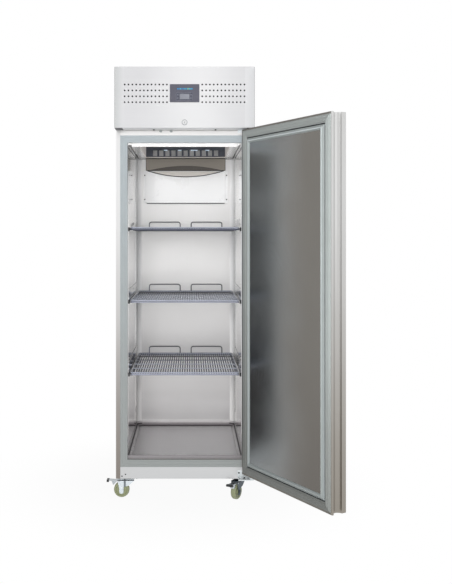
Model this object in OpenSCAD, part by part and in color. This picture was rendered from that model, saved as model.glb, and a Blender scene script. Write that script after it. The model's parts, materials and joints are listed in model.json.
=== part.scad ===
// Commercial upright freezer with one solid door, three wire shelves and four swivel casters.
// Millimetres. +Z is up, +Y runs from the door to the back, and the origin is on the floor
// under the middle of the cabinet. The door is drawn open, as it stands at rest.

/* [Cabinet] */
// Width over the side panels
cab_w = 660; // [640:1:720]
// Height from the floor to the top of the hood
total_h = 2064; // [2000:1:2130]
// Depth from the front frame plane to the back panel
cab_d = 745; // [700:1:800]
// Thickness of the insulated side walls
wall_t = 56; // [50:1:64]
// Thickness of the insulated back wall
back_t = 66; // [55:1:80]
// Thickness of the insulated ceiling
ceiling_t = 70; // [60:1:80]
// Thickness of the insulated floor
floor_t = 96; // [85:1:110]
// Thickness of the folded sheet metal
sheet = 1.2; // [0.8:0.1:1.5]
// Width of the steel jamb beside the grey frame
jamb_w = 21; // [16:1:26]
// Height of the steel rail under the grey frame
rail_h = 56; // [45:1:70]
// Depth of the grey frame
frame_t = 14; // [10:1:18]
// Radius of the rear upright corners of the liner
liner_r = 29; // [15:1:40]
// Height of the spill lip at the front of the cabinet floor
lip_h = 13; // [8:1:18]

/* [Hood] */
// Height of the refrigeration compartment
unit_h = 289; // [270:1:320]
// How far the hood stands in front of the frame plane
hood_out = 75; // [70:1:85]
// Diameter of one perforation
perf_d = 8; // [5:0.5:10]
// Sideways pitch of the perforations
perf_px = 18.07; // [15:0.01:18.5]
// Upward pitch of the perforations
perf_pz = 27.7; // [20:0.1:32]
// Distance of the first perforation from the middle
perf_x0 = 83; // [78:0.5:90]
// Columns of perforations on each side
perf_n = 12; // [8:1:12]
// Rows of perforations
perf_rows = 4; // [3:1:5]
// Width of the control panel
panel_w = 139; // [120:1:146]
// Height of the control panel
panel_h = 85; // [70:1:95]
// Height of the control panel's middle below the hood's top
panel_drop = 126; // [110:1:150]

/* [Door] */
// Gap between the door's end and the cabinet's side
door_side_gap = 5; // [2:0.5:10]
// Gap between the door and the hood above it
door_top_gap = 6.8; // [5:0.1:12]
// Thickness of the door without its gasket
door_t = 73; // [65:1:85]
// Angle at which the door is drawn
door_open = 120; // [0:1:135]
// Width of the steel edge round the gasket
door_edge = 8; // [5:1:10]
// Width of the gasket
gasket_w = 34; // [28:1:38]
// Height of the gasket above the door
gasket_h = 6; // [4:0.5:8]
// Height of the raised inner rim above the door
rim_h = 10; // [6:0.5:12]
// Length of the finger grip's curve along the door's thickness
grip_w = 42; // [34:1:46]
// Depth of the finger grip
grip_d = 18; // [12:1:20]
// Distance of the hinge pin from the door's end
pin_inset = 8; // [8:0.5:12]
// Distance of the hinge pin in front of the frame plane
pin_out = 56; // [48:1:60]
// Radius of the hinge pins
pin_r = 4; // [3:0.5:4]

/* [Shelves] */
// Gap between a shelf and the side wall
shelf_gap = 10; // [9:0.5:20]
// Gap between a shelf and the rear wall
shelf_back_gap = 9; // [5:1:40]
// Height of the lowest shelf above the floor
shelf_z0 = 610; // [450:1:650]
// Distance between shelves
shelf_pitch = 350; // [250:1:360]
// Height of the flat bar round a shelf
shelf_rim_h = 16; // [12:1:20]
// Thickness of the flat bar round a shelf
rim_t = 6; // [6:0.5:8]
// Diameter of the deck wires
wire_d = 4.5; // [3:0.5:5]
// Number of deck wires
wire_n = 43; // [30:1:48]
// Height of the stop hoops at the back of a shelf
hoop_h = 38; // [25:1:45]

/* [Casters] */
// Height from the floor to the top of the caster plate
caster_h = 102; // [98:1:120]
// Diameter of the wheel
wheel_d = 75; // [65:1:76]
// Width of the wheel
wheel_w = 25; // [20:1:28]
// Distance of the wheel's axle behind the swivel axis
trail = 38; // [32:1:42]
// Distance of the swivel axes from the middle, sideways
caster_x = 268; // [250:1:280]
// Distance of the swivel axes from the middle, front to back
caster_y = 285; // [240:1:300]

/* [Hidden] */
$fn = 48;

// Clearances
run_gap = 0.05;
seat_gap = 0.3;
door_gap = 0.5;

// Cabinet planes
half_w = cab_w / 2;
y_hood = -(cab_d + hood_out) / 2;
y_front = y_hood + hood_out;
y_back = y_front + cab_d;
y_rear = y_back - back_t;
in_x = half_w - wall_t;
z_base = caster_h;
z_floor = z_base + floor_t;
z_roof = total_h - unit_h;
z_ceil = z_roof - ceiling_t;
pan_t = 2;
skin_r = 3;

// Grey frame
frame_x = half_w - jamb_w;
frame_w = frame_x - in_x;
frame_z0 = z_base + rail_h;
ceil_step = 9;
frame_z1 = z_ceil + ceil_step + frame_w;
y_liner = y_front + frame_t;
rail_lip = 12;
ceil_roll_r = 4.5;
ceil_roll_x = in_x - 22;
cove_r = 14;
lip_r = 4;
drain_w = 22;

// Ceiling opening and evaporator housing
duct_x = 223;
vent_y0 = y_front + 95;
vent_y1 = y_rear;
evap_wall = 25;
evap_step_y = -50;
evap_low_z = z_roof + sheet + 29;
evap_top_z = z_roof + sheet + 184;
evap_in_z = z_roof + sheet;

// Rear duct
grille_y = y_rear - 31;
grille_t = 3;
grille_h = 64;
slot_n = 11;
slot_w = 24;
slot_h = 32;
cover_out = 22;
cover_z0 = z_ceil - 252;
cover_z1 = z_ceil - 71.5;
cover_flange = 14;
smile_w = 430;
smile_d = 34;
arch_h = 28;
deflector_y = y_rear - 17;

// Hood
hood_z0 = z_roof - sheet;
panel_z = total_h - panel_drop;
perf_z0 = panel_z - perf_pz * (perf_rows - 1) / 2 - 0.5;
panel_t = 3;
window_w = 46;
window_h = 25;
window_drop = 16;
lock_z = hood_z0 + 27;
lock_r = 12.25;
barrel_r = 8;

// Lock bolt
crank_r = 10;
crank_pin_r = 2;
bolt_w = 12;
bolt_t = 4;
bolt_y = y_hood + 31.5;
lock_back = y_hood + 26;
crank_t = 3;

// Door, drawn closed and then turned about the hinge
door_x = half_w - door_side_gap;
y_seal = y_front - door_gap;
y_in = y_seal - gasket_h;
y_face = y_in - door_t;
door_z0 = z_base + 45;
door_z1 = hood_z0 - door_top_gap;
door_h = door_z1 - door_z0;
pin_x = door_x - pin_inset;
pin_y = y_front - pin_out;
border_w = door_edge + gasket_w;
rim_w = 26;
frame_base = 8;
inner_x = door_x - border_w - rim_w;
grip_r = (grip_w * grip_w / 4 + grip_d * grip_d) / (2 * grip_d);
grip_strip = 8;
grip_x = -door_x + grip_d - grip_r;
grip_y = y_in - grip_strip - grip_w / 2;
bush_r = pin_r + 2.5;
bush_l = 25;
strike_w = 18;
strike_t = 9;
strike_h = 22;

// Hinges
hinge_t = 4;
hinge_tongue_r = 13;
hinge_flange_t = 2;
hinge_flange_h = 30;
bottom_hinge_z = door_z0 - 34;
top_hinge_z = hood_z0 - hinge_t;

// Shelves
shelf_w = 2 * (in_x - shelf_gap);
shelf_y0 = y_front + 20;
shelf_y1 = y_rear - shelf_back_gap;
rim_corner = 20;
cross_d = 6;
cross_n = 4;
hoop_d = 5.5;
hoop_x0 = 31;
hoop_x1 = 204;
hoop_r = 12;
hoop_foot = 6;
slide_t = 1.5;
slide_flange = 22;
slide_up = 48;
slide_y0 = shelf_y0 - 3;
slide_y1 = y_rear - 44;
pilaster_t = 1.5;
pilaster_w = 24;
pilaster_y = [y_front + 39, y_rear - 104];
pilaster_z0 = z_floor + 100;
pilaster_z1 = z_ceil - 255;
pilaster_hole = 8;
pilaster_pitch = 99.4;
pilaster_hole_z0 = shelf_z0 + 23;
shelf_z = [for (i = [0:2]) shelf_z0 + i * shelf_pitch];

// Condensing unit
chassis_z = evap_low_z + seat_gap;
chassis_t = 2;
chassis_y0 = y_hood + 45;
chassis_y1 = evap_step_y - 2;
deck_z = chassis_z + chassis_t;
cond_y0 = y_hood + 50;
cond_t = 50;
cond_w = 520;
cond_h = 200;
cond_fins = 27;
cond_fan_r = 92;
cond_fan_x = -20;
cond_fan_z = deck_z + 8 + cond_h / 2;
shroud_y = cond_y0 + cond_t;
shroud_t = 12;
shaft_r = 3;
fan_t = 22;
motor_r = 36;
motor_l = 52;
evap_motor_r = 27;
evap_motor_l = 31;
evap_fan_r = 62;
evap_fan_y = evap_step_y + evap_wall + 66;
evap_motor_y = evap_fan_y - fan_t - 6 - evap_motor_l;
evap_fan_z = (evap_in_z + evap_top_z - evap_wall) / 2;
evap_coil_y0 = evap_fan_y + 30;
comp_x = cond_w / 2 - 4 * cond_w / (cond_fins - 1);
comp_y = y_hood + 255;
comp_r = 74;
comp_h = 170;
stub_y = 40;
stub_h = 4;
pipe_r = 4;
gland_x = -in_x + 14;
gland_z = z_roof + 62;
gland_bore = 5;
gland_l = 30;

// Casters
wheel_r = wheel_d / 2;
plate_l = 90;
plate_w = 66;
plate_t = 3;
race_r = 23;
race_t = 4;
race_gap = 0.3;
king_r = 5;
crown_z1 = caster_h - plate_t - race_t - race_gap;
crown_t = 9;
crown_z0 = crown_z1 - crown_t;
leg_t = 2.5;
leg_y = wheel_w / 2 + 2.5;
axle_r = 4;
crown_x = trail + 20;
pedal_x = trail + 12;
pedal_z = crown_z0 - 5.4;
pedal_pin_r = 3;
pedal_reach = trail + 72;
caster_turn = [180, 239, 60, 115];
caster_pos = [
  [-caster_x, -caster_y], [caster_x, -caster_y], [-caster_x, caster_y], [caster_x, caster_y]
];

steel = [0.84, 0.84, 0.83];
dark_steel = [0.42, 0.41, 0.39];
zinc = [0.72, 0.76, 0.80];
grey_plastic = [0.66, 0.70, 0.71];
white_paint = [0.93, 0.93, 0.92];
coated_wire = [0.53, 0.56, 0.62];
black_plastic = [0.08, 0.08, 0.09];
foam_colour = [0.90, 0.86, 0.66];
copper = [0.72, 0.45, 0.30];
alu = [0.75, 0.77, 0.78];

// A box between two corners
module block(a, b) {
  translate(a) cube(b - a);
}

// The same shape on both sides of the middle plane
module both_sides() {
  children();
  mirror([1, 0, 0]) children();
}

// A rectangle with round corners
module soft_rect(a, b, r) {
  translate([a[0] + r, a[1]]) square([b[0] - a[0] - 2 * r, b[1] - a[1]]);
  translate([a[0], a[1] + r]) square([b[0] - a[0], b[1] - a[1] - 2 * r]);
  for (x = [a[0] + r, b[0] - r])
    for (y = [a[1] + r, b[1] - r])
      translate([x, y]) circle(r);
}

// An upright slab with a rounded plan
module soft_slab(a, b, r) {
  translate([0, 0, a[2]]) linear_extrude(b[2] - a[2]) soft_rect([a[0], a[1]], [b[0], b[1]], r);
}

// A round bar along X, Y or Z
module bar_x(p, r, l) {
  translate(p) rotate([0, 90, 0]) cylinder(h = l, r = r);
}
module bar_y(p, r, l) {
  translate(p) rotate([-90, 0, 0]) cylinder(h = l, r = r);
}
module bar_z(p, r, l) {
  translate(p) cylinder(h = l, r = r);
}

// A mitred frame w by h by k wide, flat on XY, whose section is the child, across and up
module picture_frame(w, h, k, t) {
  module side(l) {
    intersection() {
      linear_extrude(t) polygon([[0, 0], [l, 0], [l - k, k], [k, k]]);
      rotate([90, 0, 90]) linear_extrude(l) children();
    }
  }
  side(w) children();
  translate([w, 0, 0]) rotate([0, 0, 90]) side(h) children();
  translate([w, h, 0]) rotate([0, 0, 180]) side(w) children();
  translate([0, h, 0]) rotate([0, 0, 270]) side(h) children();
}

// A half of the shape of the cavity in plan, up to the wall, grown by g
module cavity_plan(g) {
  r = liner_r + g;
  x = in_x + g;
  translate([-x, y_liner]) square([2 * x, y_rear + g - r - y_liner]);
  translate([-x + r, y_liner]) square([2 * (x - r), y_rear + g - y_liner]);
  for (s = [-1, 1])
    translate([s * (x - r), y_rear + g - r]) circle(r);
}

module outer_casing() {
  color(steel) {
    translate([0, 0, z_base]) linear_extrude(z_roof - z_base) difference() {
      soft_rect([-half_w, y_front], [half_w, y_back], skin_r);
      soft_rect([-half_w + sheet, y_front + sheet], [half_w - sheet, y_back - sheet], skin_r - sheet);
      translate([-frame_x, y_front - 1]) square([2 * frame_x, sheet + 2]);
    }
    both_sides() block([frame_x, y_front, z_base + pan_t], [frame_x + sheet, y_liner, z_roof]);
    difference() {
      block([-half_w + sheet, y_front + sheet, z_roof - sheet], [half_w - sheet, y_back - sheet, z_roof]);
      block([-duct_x - sheet, vent_y0 - sheet, z_roof - 3], [duct_x + sheet, vent_y1 + sheet, z_roof + 1]);
    }
  }
}

module insulation_foam() {
  color(foam_colour) difference() {
    soft_slab([-half_w + sheet, y_front + sheet, z_base + pan_t],
      [half_w - sheet, y_back - sheet, z_roof - sheet], skin_r - sheet);
    translate([0, 0, z_floor - sheet]) linear_extrude(z_ceil - z_floor + 2 * sheet) cavity_plan(sheet);
    block([-frame_x, y_front, frame_z0], [frame_x, y_liner, frame_z1]);
    both_sides() block([frame_x, y_front, z_base], [frame_x + sheet, y_liner, z_roof + 1]);
    block([-frame_x, y_front, frame_z0 - sheet], [frame_x, y_front + rail_lip, frame_z0 + 1]);
    block([-frame_x, y_front, frame_z1 - 1], [frame_x, y_front + rail_lip, frame_z1 + sheet]);
    block([-duct_x - sheet, vent_y0 - sheet, z_ceil], [duct_x + sheet, vent_y1 + sheet, z_roof + 1]);
    block([-in_x, y_liner - 1, frame_z0 + frame_w], [in_x, y_liner + 2 * lip_r, z_floor]);
    block([-in_x, y_liner - 1, z_ceil], [in_x, y_liner + sheet, z_ceil + ceil_step]);
  }
}

module inner_liner() {
  color(steel) {
    difference() {
      translate([0, 0, z_floor - sheet]) linear_extrude(z_ceil - z_floor + 2 * sheet) cavity_plan(sheet);
      translate([0, -1, z_floor]) linear_extrude(z_ceil - z_floor) cavity_plan(0);
      translate([0, 0, z_floor]) linear_extrude(z_ceil - z_floor) cavity_plan(0);
      block([-duct_x, vent_y0, z_ceil - 1], [duct_x, vent_y1, z_roof]);
    }
    difference() {
      block([-duct_x - sheet, vent_y0 - sheet, z_ceil], [duct_x + sheet, vent_y1 + sheet, z_roof]);
      block([-duct_x, vent_y0, z_ceil - 1], [duct_x, vent_y1, z_roof + 1]);
    }
    intersection() {
      translate([0, 0, z_floor - sheet / 2]) linear_extrude(cove_r + sheet) cavity_plan(sheet / 2);
      both_sides() difference() {
        block([in_x - cove_r, y_liner, z_floor - sheet / 2], [in_x + sheet, y_rear - 1, z_floor + cove_r]);
        bar_y([in_x - cove_r, y_liner - 1, z_floor + cove_r], cove_r, y_rear - y_liner + 2);
      }
    }
    spill_lip();
    ceiling_roll();
  }
}

// The raised edge that keeps a spill on the cabinet floor, with its drain notch
module spill_lip() {
  r = lip_r;
  z0 = frame_z0 + frame_w;
  difference() {
    union() {
      block([-in_x + seat_gap, y_liner, z0], [in_x - seat_gap, y_liner + 2 * r, z_floor + lip_h - r]);
      bar_x([-in_x + seat_gap, y_liner + r, z_floor + lip_h - r], r, 2 * (in_x - seat_gap));
    }
    block([-drain_w / 2, y_liner + r, z_floor + 2], [drain_w / 2, y_liner + 3 * r, z_floor + lip_h + 1]);
  }
}

// The rolled front edge of the ceiling sheet and the plate that closes the step over it
module ceiling_roll() {
  r = ceil_roll_r;
  bar_x([-ceil_roll_x, y_liner + r, z_ceil - r + 0.5], r, 2 * ceil_roll_x);
  block([-ceil_roll_x, y_liner, z_ceil - 2 * r + 0.5], [ceil_roll_x, y_liner + r, z_ceil]);
  block([-in_x, y_liner, z_ceil], [in_x, y_liner + sheet, z_ceil + ceil_step]);
  translate([0, y_liner, 0]) rotate([90, 0, 0]) linear_extrude(sheet)
    soft_rect([-ceil_roll_x - 2, z_ceil - 2 * r], [ceil_roll_x + 2, z_ceil + ceil_step - seat_gap], 6);
}

module breaker_frame() {
  t = frame_t;
  w = frame_w;
  ridge = 1.2;
  color(grey_plastic) translate([-frame_x, y_liner, frame_z0]) rotate([90, 0, 0])
    picture_frame(2 * frame_x, frame_z1 - frame_z0, w, t)
      polygon([
        [0, 0], [w, 0], [w, t - 2], [w - 2, t], [w - 8, t], [w - 9, t - ridge], [w - 11, t - ridge],
        [w - 12, t], [12, t], [11, t - ridge], [9, t - ridge], [8, t], [0, t]
      ]);
}

// Steel rails under and over the grey frame
module front_rails() {
  color(steel) {
    block([-frame_x, y_front, z_base], [frame_x, y_front + sheet, frame_z0]);
    block([-frame_x, y_front, frame_z0 - sheet], [frame_x, y_front + rail_lip, frame_z0]);
    block([-frame_x, y_front, frame_z1], [frame_x, y_front + sheet, z_roof]);
    block([-frame_x, y_front, frame_z1], [frame_x, y_front + rail_lip, frame_z1 + sheet]);
  }
}

// Galvanised pan under the cabinet, with pressed stiffening beads
module base_pan() {
  bead_r = 6;
  bead_l = cab_d - 220;
  color(zinc) difference() {
    soft_slab([-half_w + sheet, y_front + sheet, z_base], [half_w - sheet, y_back - sheet, z_base + pan_t],
      skin_r - sheet);
    for (x = [-150, -50, 50, 150])
      bar_y([x, y_front + 110, z_base - bead_r + 1], bead_r, bead_l);
  }
}

module pilasters() {
  hole_n = floor((pilaster_z1 - pilaster_hole_z0) / pilaster_pitch);
  color(steel) both_sides() for (y = pilaster_y)
    difference() {
      block([in_x - pilaster_t, y - pilaster_w / 2, pilaster_z0], [in_x, y + pilaster_w / 2, pilaster_z1]);
      for (i = [0:hole_n])
        bar_x([in_x - pilaster_t - 1, y, pilaster_hole_z0 + i * pilaster_pitch], pilaster_hole / 2,
          pilaster_t + 2);
    }
}

// Angle slides hung on the pilasters, one pair to a shelf
module shelf_slides() {
  x1 = in_x - pilaster_t;
  color(steel) both_sides() for (z = shelf_z) {
    flange_z = z - shelf_rim_h - seat_gap;
    block([x1 - slide_t, slide_y0, flange_z - slide_t], [x1, slide_y1, z + slide_up]);
    block([x1 - slide_flange, slide_y0, flange_z - slide_t], [x1, slide_y1, flange_z]);
  }
}

module slide_end_stops() {
  x1 = in_x - pilaster_t;
  color(black_plastic) both_sides() for (z = shelf_z)
    block([shelf_w / 2 + 1, slide_y0 - 4, z - shelf_rim_h - 4], [x1, slide_y0, z - 2]);
}

// The insulated box that holds the coil and the fan, stepped down at the front
module evaporator_housing() {
  w = evap_wall;
  x = duct_x + w;
  y0 = vent_y0 - w;
  y1 = vent_y1 + w;
  color(white_paint) difference() {
    translate([-x, 0, 0]) rotate([90, 0, 90]) linear_extrude(2 * x) polygon([
      [y0, z_roof], [y1, z_roof], [y1, evap_top_z], [evap_step_y, evap_top_z],
      [evap_step_y, evap_low_z], [y0, evap_low_z]
    ]);
    translate([-duct_x, 0, 0]) rotate([90, 0, 90]) linear_extrude(2 * duct_x) polygon([
      [vent_y0, z_roof - 1], [vent_y1, z_roof - 1], [vent_y1, evap_top_z - w],
      [evap_step_y + w, evap_top_z - w], [evap_step_y + w, evap_low_z - w / 2], [vent_y0, evap_low_z - w / 2]
    ]);
  }
}

// Upright slotted air grille over the rear duct
module evaporator_grille() {
  pitch = (2 * duct_x - 70) / slot_n;
  color(dark_steel) difference() {
    union() {
      block([-duct_x + seat_gap, grille_y, z_ceil],
        [duct_x - seat_gap, grille_y + grille_t, z_ceil + grille_h]);
      block([-duct_x + seat_gap, grille_y - 4, z_ceil], [duct_x - seat_gap, grille_y, z_ceil + 5]);
    }
    for (i = [0:slot_n - 1])
      block([(i - slot_n / 2) * pitch + (pitch - slot_w) / 2, grille_y - 1, z_ceil + 10],
        [(i - slot_n / 2) * pitch + (pitch + slot_w) / 2, grille_y + grille_t + 1, z_ceil + 10 + slot_h]);
  }
}

// A finned block: thin fins on parallel tubes, with end plates and return bends
module finned_coil(x0, x1, y0, y1, z0, z1, rows, fins, tube_r) {
  pitch_z = (z1 - z0) / rows;
  pitch_x = (x1 - x0) / (fins - 1);
  ym = (y0 + y1) / 2;
  for (i = [0:fins - 1]) {
    t = (i == 0 || i == fins - 1) ? 1.6 : 0.8;
    block([x0 + i * pitch_x - t / 2, y0, z0], [x0 + i * pitch_x + t / 2, y1, z1]);
  }
  for (k = [0:rows - 1])
    bar_x([x0 - 8, ym, z0 + (k + 0.5) * pitch_z], tube_r, x1 - x0 + 16);
  for (k = [0:rows - 2])
    translate([k % 2 == 0 ? x1 + 8 : x0 - 8, ym, z0 + (k + 1) * pitch_z])
      rotate([90, k % 2 == 0 ? 90 : -90, 0])
        rotate_extrude(angle = 180) translate([pitch_z / 2, 0]) circle(tube_r);
}

module evaporator_coil() {
  tray_z = evap_in_z - 3.2;
  color(alu) {
    finned_coil(-180, 180, evap_coil_y0, evap_coil_y0 + 110, tray_z + sheet, evap_top_z - evap_wall,
      4, 15, 5);
    block([-duct_x, evap_coil_y0 - 10, tray_z], [duct_x, evap_coil_y0 + 130, tray_z + sheet]);
  }
}

// Dark plate between the ceiling and the cover, with an arched lower edge
module duct_deflector() {
  r = (smile_w * smile_w / 4 + arch_h * arch_h) / (2 * arch_h);
  color(dark_steel) {
    difference() {
      block([-duct_x + seat_gap, deflector_y, cover_z1], [duct_x - seat_gap, deflector_y + sheet, z_ceil]);
      intersection() {
        bar_y([0, deflector_y - 1, cover_z1 + arch_h - r], r, 4);
        block([-smile_w / 2, deflector_y - 1, cover_z1 - 5], [smile_w / 2, deflector_y + 3, z_ceil]);
      }
    }
    both_sides()
      block([duct_x - seat_gap - sheet, deflector_y, cover_z1], [duct_x - seat_gap, y_rear, z_ceil]);
  }
}

// White cover of the rear duct: a shallow tray with screw flanges and a curved scoop in its top edge
module duct_cover() {
  y0 = y_rear - cover_out;
  r = (smile_w * smile_w / 4 + smile_d * smile_d) / (2 * smile_d);
  color(white_paint) {
    difference() {
      block([-duct_x, y0, cover_z0], [duct_x, y0 + sheet, cover_z1]);
      intersection() {
        bar_y([0, y0 - 1, cover_z1 - smile_d + r], r, 4);
        block([-smile_w / 2, y0 - 1, cover_z1 - smile_d - 1], [smile_w / 2, y0 + 3, cover_z1 + 1]);
      }
    }
    both_sides() {
      block([duct_x - sheet, y0, cover_z0], [duct_x, y_rear, cover_z1]);
      block([duct_x - sheet, y_rear - sheet, cover_z0], [duct_x + cover_flange, y_rear, cover_z1]);
    }
    scoop(y0, r);
  }
}

// The sloping floor of the scoop, cut to the same curve as the cover's edge
module scoop(y0, r) {
  lean = 8;
  intersection() {
    bar_y([0, y0, cover_z1 - smile_d + r], r + 0.5, cover_out);
    translate([-smile_w / 2, y0, cover_z1 - smile_d]) rotate([90, 0, 90]) linear_extrude(smile_w)
      polygon([[0.6, 0], [1.8, 0], [lean + 1.2, smile_d - 5], [lean, smile_d - 5]]);
  }
}

// The two fan motors on their brackets
module fan_motors() {
  y = shroud_y + shroud_t + fan_t + 4;
  front = evap_motor_y + evap_motor_l;
  color(black_plastic) {
    bar_y([cond_fan_x, y, cond_fan_z], motor_r, motor_l);
    bar_y([cond_fan_x, y - fan_t - 3, cond_fan_z], shaft_r, fan_t + 3);
    motor_stand(y + 10);
    bar_y([0, evap_motor_y, evap_fan_z], evap_motor_r, evap_motor_l);
    bar_y([0, front, evap_fan_z], shaft_r, fan_t + 3);
    evap_spider();
  }
}

// Foot under the condenser fan's motor
module motor_stand(y) {
  block([cond_fan_x - 18, y, deck_z], [cond_fan_x + 18, y + 30, deck_z + 3]);
  block([cond_fan_x - 12, y + 8, deck_z], [cond_fan_x + 12, y + 22, cond_fan_z - motor_r + 4]);
}

// Bracket that holds the evaporator fan's motor from the housing's front wall
module evap_spider() {
  y = evap_step_y + evap_wall;
  z = evap_fan_z;
  block([-9, y, z - 50], [9, y + 3, z + 50]);
  bar_y([0, y, z], 14, evap_motor_y - y + 2);
}

// A propeller of flat blades set at a pitch angle, on a bored hub
module propeller(r, hub_r, blades, pitch) {
  difference() {
    union() {
      bar_y([0, 0, 0], hub_r, fan_t);
      intersection() {
        bar_y([0, 1, 0], r, fan_t - 2);
        for (i = [0:blades - 1])
          rotate([0, i * 360 / blades, 0]) translate([0, fan_t / 2, hub_r - 3]) rotate([0, 0, pitch])
            translate([-r * 0.36, -1, 0]) cube([r * 0.72, 2, r]);
      }
    }
    bar_y([0, -1, 0], shaft_r + run_gap, fan_t + 2);
  }
}

module condenser_fan() {
  color(black_plastic) translate([cond_fan_x, shroud_y + shroud_t + 2, cond_fan_z])
    propeller(cond_fan_r, 24, 5, 24);
}

module evaporator_fan() {
  color(black_plastic) translate([0, evap_fan_y - fan_t - 3, evap_fan_z]) propeller(evap_fan_r, 18, 5, 24);
}

// The hood's front sheet, perforated on both sides of the control panel
module hood_fascia() {
  color(steel) difference() {
    block([-half_w, y_hood, hood_z0 + skin_r], [half_w, y_hood + sheet, total_h - skin_r]);
    perforations();
    hood_cutouts();
  }
}

// The hood's rounded top and bottom returns and its two sides
module hood_returns() {
  color(steel) difference() {
    translate([-half_w, 0, 0]) rotate([90, 0, 90]) linear_extrude(cab_w) difference() {
      hood_outline(0);
      hood_outline(sheet);
      translate([y_hood - 1, hood_z0 + skin_r]) square([hood_out + 2, total_h - hood_z0 - 2 * skin_r]);
    }
    hood_cutouts();
  }
  color(steel) both_sides()
    translate([half_w - sheet, 0, 0]) rotate([90, 0, 90]) linear_extrude(sheet)
      hood_outline(sheet + run_gap);
}

module hood_outline(g) {
  difference() {
    soft_rect([y_hood + g, hood_z0 + g], [y_front + 2 * skin_r, total_h - g], skin_r - min(g, sheet));
    translate([y_front, hood_z0 - 1]) square([20, unit_h + 10]);
  }
}

module perforations() {
  for (s = [-1, 1])
    for (i = [0:perf_n - 1])
      for (k = [0:perf_rows - 1])
        bar_y([s * (perf_x0 + i * perf_px), y_hood - 1, perf_z0 + k * perf_pz], perf_d / 2, sheet + 2);
}

module hood_cutouts() {
  block([-panel_w / 2 + 5, y_hood - 1, panel_z - panel_h / 2 + 5],
    [panel_w / 2 - 5, y_hood + sheet + 1, panel_z + panel_h / 2 - 5]);
  bar_y([0, y_hood - 1, lock_z], lock_r - 1, sheet + 2);
  block([-bolt_w / 2 - 1, bolt_y - 1, hood_z0 - 1],
    [bolt_w / 2 + 1, bolt_y + bolt_t + 1, hood_z0 + sheet + 1]);
}

module unit_side_panels() {
  color(steel) both_sides()
    block([half_w - sheet, y_front, z_roof], [half_w, y_back - sheet, total_h - sheet]);
}

// Lift-off lid of the compartment with vent slots
module unit_top_cover() {
  color(steel) difference() {
    block([-half_w, y_front, total_h - sheet], [half_w, y_back, total_h]);
    for (x = [-200:50:200])
      translate([x, 60, total_h - 3]) linear_extrude(6) soft_rect([-5, -60], [5, 60], 4.9);
  }
}

// Back panel of the compartment with rows of vent slots and the cable hole
module unit_rear_grille() {
  color(steel) difference() {
    block([-half_w, y_back - sheet, z_roof], [half_w, y_back, total_h - sheet]);
    for (x = [-120:48:264])
      for (z = [z_roof + 60, z_roof + 130, z_roof + 200])
        translate([x, y_back + 1, z]) rotate([90, 0, 0]) linear_extrude(sheet + 2)
          soft_rect([-18, -4], [18, 4], 3.9);
    bar_y([gland_x, y_back - 3, gland_z], 9, 6);
  }
}

// Galvanised bridge that carries the condensing unit
module unit_chassis() {
  x = half_w - sheet;
  color(zinc) {
    block([-x, chassis_y0, chassis_z], [x, chassis_y1, deck_z]);
    both_sides() block([x - chassis_t, chassis_y0, z_roof], [x, chassis_y1, chassis_z]);
    block([-x, chassis_y0, chassis_z - 16], [x, chassis_y0 + chassis_t, chassis_z]);
  }
}

module control_panel() {
  x = panel_w / 2;
  z = panel_h / 2;
  color([0.30, 0.31, 0.35]) difference() {
    union() {
      translate([0, y_hood, panel_z]) rotate([90, 0, 0]) linear_extrude(panel_t)
        soft_rect([-x, -z], [x, z], 2);
      block([-x + 6, y_hood, panel_z - z + 6], [x - 6, y_hood + 22, panel_z + z - 6]);
    }
    block([-window_w / 2, y_hood - panel_t - 1, panel_z - window_drop - window_h / 2],
      [window_w / 2, y_hood - panel_t + 1, panel_z - window_drop + window_h / 2]);
  }
}

module display_window() {
  g = 0.15;
  color([0.62, 0.64, 0.68])
    block([-window_w / 2 + g, y_hood - panel_t + 0.2, panel_z - window_drop - window_h / 2 + g],
      [window_w / 2 - g, y_hood - panel_t + 1, panel_z - window_drop + window_h / 2 - g]);
}

// Hermetic compressor: a domed can on a foot plate, with its terminal box
module compressor() {
  r = comp_r;
  h = comp_h;
  color(black_plastic) translate([comp_x, comp_y, deck_z]) {
    rotate_extrude() polygon(concat(
      [[0, 12], [r - 12, 12], [r - 4, 16], [r, 24]],
      [[r, h * 0.52], [r + 3, h * 0.52], [r + 3, h * 0.55], [r, h * 0.55]],
      [for (a = [0:15:90]) [r * cos(a), h * 0.62 + h * 0.38 * sin(a)]]
    ));
    block([-r, -r * 0.6, 0], [r, r * 0.6, 3]);
    for (x = [-r * 0.6, r * 0.6])
      for (y = [-r * 0.4, r * 0.4])
        bar_z([x, y, 2], 7, 11);
    block([-22, -r - 16, h * 0.25], [22, -r + 12, h * 0.5]);
    for (y = [-stub_y, stub_y])
      bar_z([0, y, h * 0.62], pipe_r + 3, h * 0.38 + stub_h);
  }
}

module condenser_coil() {
  color(alu) finned_coil(-cond_w / 2, cond_w / 2, cond_y0, cond_y0 + cond_t, deck_z, deck_z + cond_h, 6,
    cond_fins, 5);
}

// Plate behind the condenser with the fan ring
module condenser_shroud() {
  color(zinc) difference() {
    union() {
      block([-cond_w / 2 - 2, shroud_y, deck_z], [cond_w / 2 + 2, shroud_y + sheet, deck_z + cond_h]);
      bar_y([cond_fan_x, shroud_y, cond_fan_z], cond_fan_r + 5, shroud_t);
    }
    bar_y([cond_fan_x, shroud_y - 1, cond_fan_z], cond_fan_r + 3, shroud_t + 2);
  }
}

// Open tray on top of the housing, in which the defrost water dries off
module condensate_tray() {
  color(black_plastic) difference() {
    soft_slab([-200, evap_step_y + 90, evap_top_z], [200, y_rear - 60, evap_top_z + 26], 10);
    soft_slab([-197, evap_step_y + 93, evap_top_z + 3], [197, y_rear - 63, evap_top_z + 27], 8);
  }
}

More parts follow.
